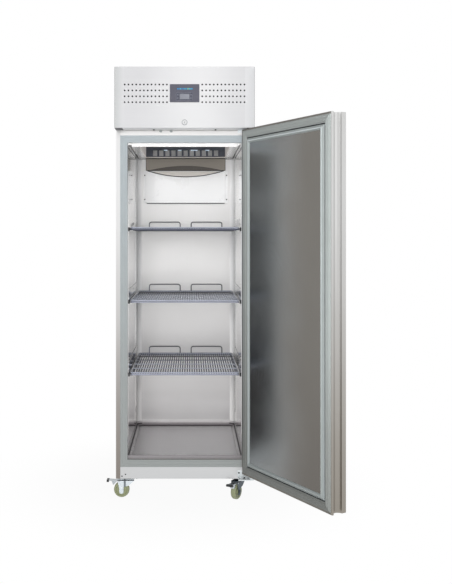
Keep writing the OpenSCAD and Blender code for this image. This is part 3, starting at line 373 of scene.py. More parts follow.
@dataclass(frozen=True)
class SteelFinish:
    """Brushed stainless sheet.

    Attributes:
        name: the material's name.
        colour: screen colour of the clean sheet.
        low_shade_colour: screen colour of the painted shade that it tends to near the floor.
        brush: which way its grain runs.
        roughness: middle roughness.
        streak: how far the grain changes the tone.
        top: height in metres at which the painted floor shade begins.
        metal: how metallic the sheet is.
        band: direction, middle and reach of a band of painted light and shade, in metres.
        painted_band_colour: screen colour painted in that band, lighter as a highlight and darker as shade,
            or nothing for none.
        relief: strength of the grain's relief.
    """

    name: str
    colour: str
    low_shade_colour: str
    brush: Brush = Brush.UPRIGHT
    roughness: float = 0.3
    streak: float = 0.1
    top: float = 1.5
    metal: float = 1.0
    band: tuple[Point, float, float] = (X_AXIS, 0.0, 0.3)
    painted_band_colour: str = ""
    relief: float = 0.1

    def make(self) -> bpy.types.Material:
        """Build the material.

        Returns:
            The material.
        """
        m = MaterialGraph(self.name)
        grain = m.effect(Effect.GRAIN, Stretch=self.brush.value)
        cloud = m.effect(Effect.CLOUD, Size=2.6, Sharpness=0.22)["Mask"]
        floor = m.effect(Effect.FLOOR, Top=self.top, Bottom=0.05)["Mask"]
        base = tint(self.colour)
        sheet = m.mix(grain["Tone"], dim(base, 1 - self.streak), base)
        smudged = m.mix(m.remap(cloud, to_high=0.35), sheet, dim(base, 0.94))
        # Painted shade: the colour darkens towards the floor.
        colour = m.mix(floor, smudged, tint(self.low_shade_colour))
        # Painted light and shade: a soft band of another tone.
        if self.painted_band_colour:
            way, middle, reach = self.band
            band = m.effect(Effect.BAND, Way=way, Middle=middle, Reach=reach)["Mask"]
            colour = m.mix(m.remap(band, to_high=0.9), colour, tint(self.painted_band_colour))
        spread = self.streak / 2
        along = m.remap(grain["Tone"], 0.0, 1.0, self.roughness - spread, self.roughness + spread)
        rough = m.math("ADD", along, m.remap(cloud, 0.0, 1.0, -0.02, 0.04))
        m.set(Base_Color=colour, Roughness=rough, Metallic=self.metal)
        m.bump(grain["Height"], self.relief, 0.0002)
        return m.material


@dataclass(frozen=True)
class PlasticFinish:
    """Moulded or painted surface.

    Attributes:
        name: the material's name.
        colour: screen colour.
        worn: screen colour where its edges are rubbed.
        roughness: middle roughness.
        pebbles: pebbles to the metre.
        relief: strength of the pebbling.
        low_shade_colour: screen colour of the painted shade that it tends to near the floor, if any.
        dust: how much dust lies on what faces up.
        coat: weight of the gloss coat.
        top: height in metres at which the painted floor shade begins.
        mottle: how far the broad clouds darken the tone.
    """

    name: str
    colour: str
    worn: str
    roughness: float = 0.42
    pebbles: float = 900.0
    relief: float = 0.15
    low_shade_colour: str = ""
    dust: float = 0.12
    coat: float = 0.0
    top: float = 1.5
    mottle: float = 0.07

    def make(self) -> bpy.types.Material:
        """Build the material.

        Returns:
            The material.
        """
        m = MaterialGraph(self.name)
        skin = m.effect(Effect.PEEL, Pebbles=self.pebbles)
        wear = m.effect(Effect.EDGE, Radius=0.0012)["Mask"]
        dust = m.effect(Effect.DUST, Amount=self.dust)["Mask"]
        base = tint(self.colour)
        toned = m.mix(skin["Tone"], dim(base, 1 - self.mottle), base)
        # Painted shade: the colour darkens towards the floor.
        if self.low_shade_colour:
            floor = m.effect(Effect.FLOOR, Top=self.top, Bottom=0.1)["Mask"]
            toned = m.mix(floor, toned, tint(self.low_shade_colour))
        rubbed = m.mix(m.math("MULTIPLY", wear, 0.6), toned, tint(self.worn))
        dusty = m.mix(dust, rubbed, tint("b9b4aa"))
        uneven = m.remap(skin["Tone"], 0.0, 1.0, self.roughness - 0.05, self.roughness + 0.05)
        rough = m.math("ADD", uneven, m.math("MULTIPLY", dust, 0.4))
        m.set(Base_Color=dusty, Roughness=rough, Coat_Weight=self.coat, Coat_Roughness=0.12)
        m.bump(skin["Height"], self.relief, 0.0003)
        return m.material


@dataclass(frozen=True)
class ZincFinish:
    """Bright zinc plate with its faint spangle.

    Attributes:
        name: the material's name.
        colour: screen colour.
        crystals: crystals to the metre.
        contrast: how far the crystals change the tone.
        roughness: middle roughness.
    """

    name: str
    colour: str
    crystals: float = 260.0
    contrast: float = 0.16
    roughness: float = 0.32

    def make(self) -> bpy.types.Material:
        """Build the material.

        Returns:
            The material.
        """
        m = MaterialGraph(self.name)
        spangle = m.effect(Effect.SPANGLE, Crystals=self.crystals)
        cloud = m.effect(Effect.CLOUD, Size=40.0, Sharpness=0.15)["Mask"]
        wear = m.effect(Effect.EDGE, Radius=0.001)["Mask"]
        base = tint(self.colour)
        toned = m.mix(spangle["Tone"], dim(base, 1 - self.contrast), base)
        stained = m.mix(m.remap(cloud, to_high=0.3), toned, dim(base, 0.72))
        bright = m.mix(m.math("MULTIPLY", wear, 0.5), stained, tint("eef0f2"))
        rough = m.remap(spangle["Tone"], 0.0, 1.0, self.roughness - 0.07, self.roughness + 0.1)
        m.set(Base_Color=bright, Roughness=rough, Metallic=0.9)
        m.bump(spangle["Height"], 0.1, 0.0002)
        return m.material


@dataclass(frozen=True)
class GlowFinish:
    """A surface that glows: the controller's lit marks, the ceiling light's lenses, and the opening's cheeks,
    whose glow is painted light.

    Attributes:
        name: the material's name.
        colour: screen colour.
        strength: how strongly it glows.
    """

    name: str
    colour: str
    strength: float = 0.6

    def make(self) -> bpy.types.Material:
        """Build the material.

        Returns:
            The material.
        """
        m = MaterialGraph(self.name)
        skin = m.effect(Effect.PEEL, Pebbles=3000.0)
        base = tint(self.colour)
        lit = m.mix(skin["Tone"], dim(base, 0.85), base)
        m.set(Base_Color=lit, Emission_Color=lit, Emission_Strength=self.strength, Roughness=0.3)
        return m.material


def hood_sheet(name: str, colour: str, middle: float, reach: float, lit: str) -> SteelFinish:
    """Describe one part of the hood's front sheet, with its band of painted highlight.

    Args:
        name: the material's name.
        colour: screen colour.
        middle: X of its painted highlight band.
        reach: how far that band reaches to either side.
        lit: screen colour of the painted highlight in the band.

    Returns:
        The finish.
    """
    band = (X_AXIS, middle, reach)
    return SteelFinish(name, colour, colour, Brush.LEVEL, 0.34, 0.02, 0.2, 0.95, band, lit, 0.03)


FINISHES: dict[str, SteelFinish | PlasticFinish | ZincFinish | GlowFinish] = {
    "hood": hood_sheet("hood_steel", "e3e3e5", 0.05, 0.29, "f2f2f3"),
    # The hood's sides take darker copies of its steel: painted shade.
    "hood_shade_left": hood_sheet("hood_steel_shaded_left", "d5d7d7", -0.284, 0.046, "e4e4e6"),
    "hood_shade_right": hood_sheet("hood_steel_shaded_right", "e0e1e3", 0.284, 0.046, "e8e8ea"),
    "shell": SteelFinish("shell_steel", "f1f1f1", "938c86", Brush.UPRIGHT, 0.33, 0.05, 1.5),
    "rail": SteelFinish("rail_steel", "f8f8f8", "d4d5d6", Brush.LEVEL, 0.34, 0.04, 1.0),
    # A darker copy of the rail's steel: painted shade under the hood.
    "rail_top_shade": SteelFinish(
        "top_rail_shaded_steel", "e5e4e3", "e5e4e3", Brush.LEVEL, 0.34, 0.02, 0.1, 0.4, relief=0.03
    ),
    "liner": SteelFinish("liner_steel", "f7f6f5", "dddbdb", Brush.UPRIGHT, 0.2, 0.02, 1.25, 0.6, relief=0.02),
    "liner_side": SteelFinish(
        "side_wall_steel", "ffffff", "d6d3d2", Brush.UPRIGHT, 0.06, 0.01, 1.0, 0.9, relief=0.0
    ),
    # The rear wall carries a band of painted light low down.
    "liner_rear": SteelFinish(
        "rear_wall_steel", "f4f3f2", "d6d4d4", Brush.UPRIGHT, 0.3, 0.01, 1.4, 0.6,
        (Z_AXIS, 0.31, 0.08), "eceaea", 0.0
    ),
    "liner_corner": SteelFinish(
        "liner_corner_steel", "ffffff", "f2f0ef", Brush.UPRIGHT, 0.6, 0.01, 1.1, 0.0, relief=0.0
    ),
    "liner_floor": SteelFinish(
        "liner_floor_steel", "ffffff", "faf8fa", Brush.LEVEL, 0.36, 0.03, 0.3, 0.75, relief=0.04
    ),
    # A darker copy of the liner's steel: painted shade on the spill lip.
    "liner_lip_shade": SteelFinish(
        "spill_lip_shaded_steel", "9a9698", "9a9698", Brush.LEVEL, 0.4, 0.05, 0.3, 0.6, relief=0.04
    ),
    "slide": SteelFinish("slide_steel", "fdfdfc", "dad8d7", Brush.DEEP, 0.12, 0.01, 1.1, 1.0, relief=0.0),
    # The door's steel is a darker copy of the shell's, and its return darker still: painted shade.
    "door": SteelFinish("door_shaded_steel", "d6d6d5", "989289", Brush.UPRIGHT, 0.3, 0.06, 1.5),
    "door_edge": SteelFinish("door_return_shaded_steel", "7d7a75", "76736d", Brush.LEVEL, 0.35, 0.08, 1.5),
    # A darker copy of the liner's steel: painted shade, with a band of painted light.
    "inner": SteelFinish(
        "inner_panel_shaded_steel", "7d7a75", "6f6b66", Brush.UPRIGHT, 0.2, 0.04, 1.0, 1.0,
        (X_AXIS, 0.33, 0.2), "989c9e"
    ),
    # A darker copy of the liner's steel: painted shade in the recess.
    "deflector": SteelFinish("deflector_shaded_steel", "b4ada3", "b4ada3", Brush.LEVEL, 0.4, 0.1, 1.0, 0.8),
    # Painted shade: the dark strips along the hood's side edges and under the ends of its underside.
    "seam": SteelFinish("hood_edge_shade_steel", "55565a", "55565a", Brush.LEVEL, 0.4, 0.08, 0.2),
    "screw": PlasticFinish("blackened_screw", "0e0e10", "3a3a3d", 0.6, 900.0, 0.1, "", 0.0),
    "frame": PlasticFinish("frame_plastic", "abb3b7", "ccd3d5", 0.38, 700.0, 0.08, "939796", 0.1, 0.1, 1.9),
    "trim": PlasticFinish("trim_plastic", "a0a7a6", "c4c9c9", 0.36, 800.0, 0.08, "949b9b", 0.08, 0.1, 1.3),
    "gasket": PlasticFinish("gasket_vinyl", "999e9c", "b1b5b3", 0.5, 1400.0, 0.2, "717370", 0.1, 0.0, 1.3),
    # Dark sealant, also used as painted shadow in the gap under the duct cover.
    "joint": PlasticFinish("dark_sealant_and_shadow", "2e2d2b", "43423f", 0.5, 900.0, 0.1, "", 0.0),
    "soft_joint": PlasticFinish("grey_sealant", "d0d0ce", "dadad8", 0.5, 900.0, 0.1, "", 0.0),
    "lens": GlowFinish("light_lens", "c3d1e0", 0.7),
    "cove_dark": PlasticFinish("cove_shade", "565254", "686466", 0.5, 900.0, 0.05, "", 0.0),
    "cove_mid": PlasticFinish("cove_half_shade", "8a8587", "9c9799", 0.4, 900.0, 0.05, "", 0.0),
    "cove_light": PlasticFinish("cove_light", "c9c5c6", "d8d4d5", 0.3, 900.0, 0.05, "", 0.0, 0.3),
    "gasket_light": PlasticFinish(
        "gasket_vinyl_lit", "b4bbb9", "c8cdcb", 0.5, 1400.0, 0.2, "8e918e", 0.1, 0.0, 1.0
    ),
    "trim_light": PlasticFinish(
        "trim_plastic_lit", "c6cecf", "dde2e2", 0.4, 800.0, 0.08, "9da3a1", 0.05, 0.1, 1.3
    ),
    "groove_light": PlasticFinish("groove_half_shadow", "868a8c", "97999b", 0.6, 900.0, 0.1, "", 0.0),
    "groove": PlasticFinish("groove_shadow", "3b3d40", "4c4e51", 0.6, 900.0, 0.1, "", 0.0),
    "white": PlasticFinish("white_enamel", "ffffff", "e6e4e0", 0.3, 1100.0, 0.06, "", 0.01, 0.3, mottle=0.01),
    # A darker copy of the white enamel: painted shade in the scoop.
    "scoop": PlasticFinish("scoop_shaded_enamel", "e4dfd8", "cdc8c0", 0.35, 1100.0, 0.06, "", 0.0, 0.2, mottle=0.01),
    "grille": PlasticFinish("grille_plastic", "666b75", "767c86", 0.4, 900.0, 0.12, "", 0.1, 0.1),
    "grille_lip": PlasticFinish("grille_lip", "f4eee4", "faf6f0", 0.4, 900.0, 0.1, "", 0.0),
    # Painted shade: the dark sheet that stands for the duct's mouth.
    "throat_shade": PlasticFinish("duct_mouth_painted_shade", "66625d", "77736d", 0.55, 600.0, 0.15, "", 0.0),
    "housing": PlasticFinish("housing_coating", "8d9098", "a2a5ab", 0.5, 600.0, 0.15, "", 0.1),
    "black": PlasticFinish("black_plastic", "1c1d20", "54565a", 0.42, 900.0, 0.2),
    # Near-black: painted shade behind the hood's holes.
    "filter": PlasticFinish("filter_pad_painted_shade", "121315", "222326", 0.85, 1800.0, 0.6, "", 0.1),
    "slate": PlasticFinish("slate_panel", "545460", "77777f", 0.34, 1600.0, 0.1, "", 0.03, 0.2),
    # Also the painted shadow in the lock's key slot.
    "bezel": PlasticFinish("window_surround_and_slot_shadow", "494b58", "5d5f6c", 0.3, 1800.0, 0.06, "", 0.02, 0.3),
    "module": PlasticFinish("module_line", "70727f", "8a8c97", 0.3, 1800.0, 0.08, "", 0.03, 0.3),
    "glass": PlasticFinish("display_glass", "82858f", "a8aab2", 0.12, 2500.0, 0.02, "", 0.02, 0.8),
    # One coating on the shelves: the deck wires are darker than the rims as painted shade, the cross rods
    # lighter as painted light and the lower rims darker as painted shade.
    "wire": PlasticFinish("coated_wire", "636878", "747989", 0.5, 700.0, 0.12, "", 0.05, 0.0),
    "cross": PlasticFinish("cross_rod_painted_light", "b6bac6", "c6cad4", 0.4, 700.0, 0.12, "", 0.05, 0.1),
    "rim": PlasticFinish("shelf_rim_coating", "a6abb9", "b8bcc8", 0.28, 700.0, 0.1, "", 0.05, 0.5),
    "rim_low_shade": PlasticFinish("lower_rim_shaded_coating", "9a9eae", "b0b3c0", 0.28, 700.0, 0.1, "", 0.0, 0.5),
    "rim_shade": PlasticFinish("shaded_rim_coating", "565a68", "6b6f7d", 0.3, 700.0, 0.1, "", 0.0, 0.4),
    "hoop": PlasticFinish("hoop_coating", "515357", "77797e", 0.32, 700.0, 0.12, "", 0.1, 0.4),
    "nylon": PlasticFinish("nylon_wheel", "8f9474", "7f8466", 0.4, 600.0, 0.15, "", 0.2),
    "foam": PlasticFinish("wall_foam", "d9cfa4", "c8bd92", 0.8, 500.0, 0.8, "", 0.1),
    "box": PlasticFinish("control_box_grey", "a7abad", "c3c6c7", 0.45, 900.0, 0.15),
    "enamel": PlasticFinish("compressor_enamel", "17181a", "4a4b4e", 0.3, 500.0, 0.12, "", 0.3, 0.3),
    "zinc": ZincFinish("zinc_plate", "cdd3d7", 220.0, 0.22),
    # The front forks take lighter and darker copies of the zinc: painted light and shade.
    "fork_left_painted": SteelFinish(
        "zinc_fork_left_painted_light_and_shade", "eaf1f6", "dfe7ec", Brush.UPRIGHT, 0.25, 0.12, 0.1, 0.6,
        (X_AXIS, -0.290, 0.009), "3a434b"
    ),
    "hinge": SteelFinish("hinge_zinc", "eef3f5", "e4eaec", Brush.LEVEL, 0.28, 0.1, 0.1, 0.6),
    "shaded_zinc": ZincFinish("shaded_zinc_plate", "5a646c", 180.0, 0.4, 0.3),
    # Painted shade: the dark zinc under the rail, on the caster plates, the forks' races and folds and the
    # lower hinge's underside.
    "plate": ZincFinish("underside_painted_shade", "3c4046", 260.0, 0.3, 0.45),
    "pan": ZincFinish("galvanised_pan", "b4b9bd", 120.0, 0.2, 0.4),
    "fin": ZincFinish("fin_aluminium", "c6c9ca", 500.0, 0.08, 0.35),
    "coil": ZincFinish("shaded_fin_aluminium", "3d4148", 500.0, 0.2, 0.5),
    "copper": ZincFinish("copper_pipe", "c07a52", 90.0, 0.1, 0.3),
    "blue": GlowFinish("mark_blue", "2b73a6", 0.5),
    "cyan": GlowFinish("mark_cyan", "3f97ad", 0.5),
    "green": GlowFinish("mark_green", "68aa88", 0.5),
    # Painted light: the opening's cheeks glow, though they are no lamp.
    "glowing_cheek": GlowFinish("cheek_painted_glow", "cbc6c2", 0.45),
}


class PaintShop:
    """Makes each finish once and hands it out."""

    def __init__(self) -> None:
        """Build the shared effects."""
        self.made: dict[str, bpy.types.Material] = {}
        for build in (
            build_grain, build_cloud, build_painted_floor_shade, build_edge_wear,
            build_dust, build_spangle, build_peel, build_painted_band,
        ):
            build()

    def get(self, key: str) -> bpy.types.Material:
        """Make a finish's material at its first use.

        Args:
            key: the finish's key.

        Returns:
            The material.
        """
        if key not in self.made:
            self.made[key] = FINISHES[key].make()
        return self.made[key]


# ---------------------------------------------------------------- shaping


def edges_of(verts: Sequence[Vert]) -> list[Edge]:
    """Return the edges that meet the vertices, each once and in their order."""
    return list(dict.fromkeys(e for v in verts for e in v.link_edges))


def box_into(bm: Mesh, low: Point, high: Point, round_by: float = 0.0, segments: int = 2) -> list[Face]:
    """Add a box between two corners, with its edges rounded.

    Args:
        bm: the mesh to add to.
        low: lowest corner.
        high: highest corner.
        round_by: width of the rounding.
        segments: steps of the rounding.

    Returns:
        The faces that were added.
    """
    before = set(bm.faces)
    a, b = Vector(low), Vector(high)
    place = Matrix.Translation((a + b) / 2) @ Matrix.Diagonal((*(b - a), 1.0))
    verts = bmesh.ops.create_cube(bm, size=1.0, matrix=place)["verts"]
    if round_by > 0:
        edges = edges_of(verts)
        bmesh.ops.bevel(
            bm, geom=edges, offset=round_by, offset_type="OFFSET", segments=segments, profile=0.5,
            affect="EDGES", clamp_overlap=True, material=-1,
        )
    return [f for f in bm.faces if f not in before]


def rod_into(bm: Mesh, start: Point, stop: Point, radius: float, sides: int = 12) -> None:
    """Add one straight round rod.

    Args:
        bm: the mesh to add to.
        start: middle of one end.
        stop: middle of the other end.
        radius: radius of the rod.
        sides: sides of the rod.
    """
    a, b = Vector(start), Vector(stop)
    way = b - a
    turn = way.to_track_quat("Z", "Y").to_matrix().to_4x4()
    bmesh.ops.create_cone(
        bm, cap_ends=True, cap_tris=False, segments=sides, radius1=radius, radius2=radius,
        depth=way.length, matrix=Matrix.Translation((a + b) / 2) @ turn,
    )


def turn_into(bm: Mesh, profile: Sequence[Pair], centre: Point, axis: Point, steps: int = 40) -> None:
    """Turn an open profile about an axis.

    Args:
        bm: the mesh to add to.
        profile: pairs of radius and distance along the axis.
        centre: the point from which the distance is measured.
        axis: direction of the axis.
        steps: steps of a full turn.
    """
    way = Vector(axis).normalized()
    side = way.orthogonal().normalized()
    c = Vector(centre)
    verts = [bm.verts.new(c + side * r + way * d) for r, d in profile]
    edges = [bm.edges.new(pair) for pair in zip(verts, verts[1:])]
    bmesh.ops.spin(
        bm, geom=verts + edges, cent=c, axis=way, dvec=(0, 0, 0), angle=math.tau, steps=steps,
        use_merge=True, use_duplicate=False,
    )


def bend_into(
    bm: Mesh, points: Sequence[Point], radius: float, bend: float, sides: int = 10, closed: bool = False
) -> None:
    """Bend a round rod along straight runs with rounded corners.

    Args:
        bm: the mesh to add to.
        points: the corners of the path.
        radius: radius of the rod.
        bend: radius of the corners, at the rod's middle.
        sides: sides of the rod.
        closed: whether the path comes back to its start.
    """
    path = [Vector(p) for p in points]
    if closed:
        middle = (path[0] + path[1]) / 2
        path = [middle, *path[1:], path[0], middle.copy()]
    way = (path[1] - path[0]).normalized()
    here = path[0].copy()
    turn = way.to_track_quat("Z", "Y").to_matrix().to_4x4()
    place = Matrix.Translation(here) @ turn
    verts = bmesh.ops.create_circle(bm, cap_ends=False, segments=sides, radius=radius, matrix=place)["verts"]
    first = edges_of(verts)
    edges = first
    for k in range(1, len(path)):
        last = k == len(path) - 1
        trim = 0.0
        if not last:
            onward = (path[k + 1] - path[k]).normalized()
            angle = way.angle(onward)
            trim = bend * math.tan(angle / 2)
        stop = path[k] - way * trim
        grown = bmesh.ops.extrude_edge_only(bm, edges=edges)["geom"]
        verts = [v for v in grown if isinstance(v, Vert)]
        bmesh.ops.translate(bm, verts=verts, vec=stop - here)
        ends = set(verts)
        edges = [e for e in grown if isinstance(e, Edge) and set(e.verts) <= ends]
        here = stop
        if not last:
            inward = (onward - way * way.dot(onward)).normalized()
            spun = bmesh.ops.spin(
                bm, geom=edges + verts, cent=stop + inward * bend, axis=way.cross(onward).normalized(),
                dvec=(0, 0, 0), angle=angle, steps=BEND_STEPS, use_merge=False, use_duplicate=False,
            )["geom_last"]
            verts = [v for v in spun if isinstance(v, Vert)]
            edges = [e for e in spun if isinstance(e, Edge)]
            here = path[k] + onward * trim
            way = onward
    if not closed:
        for loop in (first, edges):
            bmesh.ops.contextual_create(bm, geom=loop)


def loft_into(
    bm: Mesh, rings: Sequence[Sequence[Vector]], closed: bool = True, cap: bool = False
) -> list[Face]:
    """Draw a skin through rings of the same count of points.

    Args:
        bm: the mesh to add to.
        rings: the rings, in order.
        closed: whether each ring comes back to its start.
        cap: whether the first and last rings are filled.

    Returns:
        The faces that were added.
    """
    before = set(bm.faces)
    count = len(rings[0])
    row = [bm.verts.new(p) for p in rings[0]]
    pairs = list(zip(row, row[1:])) + ([(row[-1], row[0])] if closed else [])
    edges = [bm.edges.new(pair) for pair in pairs]
    if cap:
        bmesh.ops.contextual_create(bm, geom=edges)
    for ring in rings[1:]:
        index = {v: k for k, v in enumerate(row)}
        grown = bmesh.ops.extrude_edge_only(bm, edges=edges)["geom"]
        fresh: list[Vert | None] = [None] * count
        for v in (g for g in grown if isinstance(g, Vert)):
            old = next(e.other_vert(v) for e in v.link_edges if e.other_vert(v) in index)
            fresh[index[old]] = v
        for v, place in zip(fresh, ring):
            v.co = place
        row = fresh
        ends = set(row)
        edges = [e for e in grown if isinstance(e, Edge) and set(e.verts) <= ends]
    if cap:
        bmesh.ops.contextual_create(bm, geom=edges)
    return [f for f in bm.faces if f not in before]


class Bench:
    """Where pieces are finished: it names them, dresses them and hangs them on their bodies."""

    def __init__(self, frame: dict, shop: PaintShop) -> None:
        """Hold the loaded frame and the finishes."""
        self.frame = frame
        self.shop = shop

    def body_of(self, node: str) -> str:
        """Return the body that a CAD node rides on."""
        return self.frame["nodes"][node]["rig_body"]

    def dress(self, node: str, finish: str) -> None:
        """Give a CAD node that stays its finish.

        Args:
            node: the CAD node.
            finish: its finish.
        """
        mesh = self.frame["nodes"][node].data
        mesh.materials.clear()
        mesh.materials.append(self.shop.get(finish))

    def finish(
        self, name: str, bm: Mesh, finishes: Sequence[str], body: str, slot: str,
        replaces: Sequence[str] = (), smooth: float = 35.0, merge: bool = True,
    ) -> bpy.types.Object:
        """Turn a bmesh into a finished piece.

        Args:
            name: the piece's name.
            bm: its mesh, in metres in the row's frame; it is freed.
            finishes: finishes, in the order of its material indices.
            body: the body that it rides on.
            slot: the record's material slot; not used.
            replaces: CAD nodes that it stands for.
            smooth: angle in degrees under which faces shade as one.
            merge: whether doubled vertices are merged.

        Returns:
            The new object.
        """
        if merge:
            bmesh.ops.remove_doubles(bm, verts=bm.verts, dist=2 * MERGE_WITHIN)
        bmesh.ops.recalc_face_normals(bm, faces=bm.faces)
        mesh = bpy.data.meshes.new(name)
        bm.to_mesh(mesh)
        bm.free()
        for key in finishes:
            mesh.materials.append(self.shop.get(key))
        mesh.shade_smooth()
        mesh.set_sharp_from_angle(angle=math.radians(smooth))
        obj = bpy.data.objects.new(name, mesh)
        bpy.context.scene.collection.objects.link(obj)
        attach(obj, body)
        if replaces:
            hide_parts(*replaces)
        log.info("%s on %s: %d faces", name, body, len(mesh.polygons))
        return obj

    def polish(
        self, node: str, finishes: Sequence[str], slot: str, edge: float = 0.4, smooth: float = 35.0,
        pick: Pick | None = None, rim: Pick | None = None, cuts: Sequence[Plane] = (),
    ) -> bpy.types.Object:
        """Replace a CAD node by a copy with merged faces and broken edges.

        Args:
            node: the CAD node.
            finishes: finishes, in the order of the material indices.
            slot: the record's material slot.
            edge: width of the broken edge in millimetres, or 0 for none.
            smooth: angle in degrees under which faces shade as one.
            pick: takes a face's middle and normal and gives its material index.
            rim: takes an edge's middle and direction and tells whether it is cut broad, in the second finish.
            cuts: point and normal of planes along which faces are split, so that a finish can end there.

        Returns:
            The new object.
        """
        bm = bmesh.new()
        bm.from_mesh(self.frame["nodes"][node].data)
        bmesh.ops.remove_doubles(bm, verts=bm.verts, dist=MERGE_WITHIN)
        bmesh.ops.dissolve_limit(bm, angle_limit=FLAT_UNDER, verts=bm.verts, edges=bm.edges)
        for point, normal in cuts:
            whole = [*bm.verts, *bm.edges, *bm.faces]
            bmesh.ops.bisect_plane(bm, geom=whole, plane_co=point, plane_no=normal)
        for face in bm.faces:
            face.material_index = pick(face.calc_center_median(), face.normal) if pick else 0
        if rim:
            chosen = []
            for line in bm.edges:
                a, c = (v.co for v in line.verts)
                if rim((a + c) / 2, (c - a).normalized()):
                    chosen.append(line)
            bmesh.ops.bevel(
                bm, geom=chosen, offset=RIM_CUT, offset_type="OFFSET", segments=2, profile=0.5,
                affect="EDGES", clamp_overlap=True, material=1,
            )
        body = self.body_of(node)
        obj = self.finish(node + "_look", bm, finishes, body, slot, (node,), smooth, merge=False)
        if edge > 0:
            bevel = obj.modifiers.new("broken_edges", "BEVEL")
            bevel.width = edge * MM
            bevel.segments = 2
            bevel.limit_method = "ANGLE"
            bevel.angle_limit = SHARP_OVER
            bevel.harden_normals = False
            bevel.use_clamp_overlap = True
        return obj

    def polish_all(self, looks: Sequence[Look]) -> None:
        """Replace CAD nodes that have one finish each by copies with broken edges.

        Args:
            looks: node, finish, slot and width of the broken edge in millimetres of each.
        """
        for node, finish, slot, edge in looks:
            self.polish(node, [finish], slot, edge)


# ---------------------------------------------------------------- sub-assemblies


def upright(x: float) -> Plane:
    """Return point and normal of the upright plane across X."""
    return ((x, 0.0, 0.0), X_AXIS)


def level(z: float) -> Plane:
    """Return point and normal of the level plane at a height."""
    return ((0.0, 0.0, z), Z_AXIS)


class LinerPart(IntEnum):
    """Parts of the liner, in the order of their finishes; the spill lip's finish is a darker copy of the
    steel as painted shade.
    """

    CEILING = 0
    SIDE = 1
    REAR = 2
    CORNER = 3
    FLOOR = 4
    LIP = 5


class CoveShade(IntEnum):
    """Shades of the floor's cove, in the order of their finishes."""

    DARK = 0
    HALF = 1
    LIGHT = 2


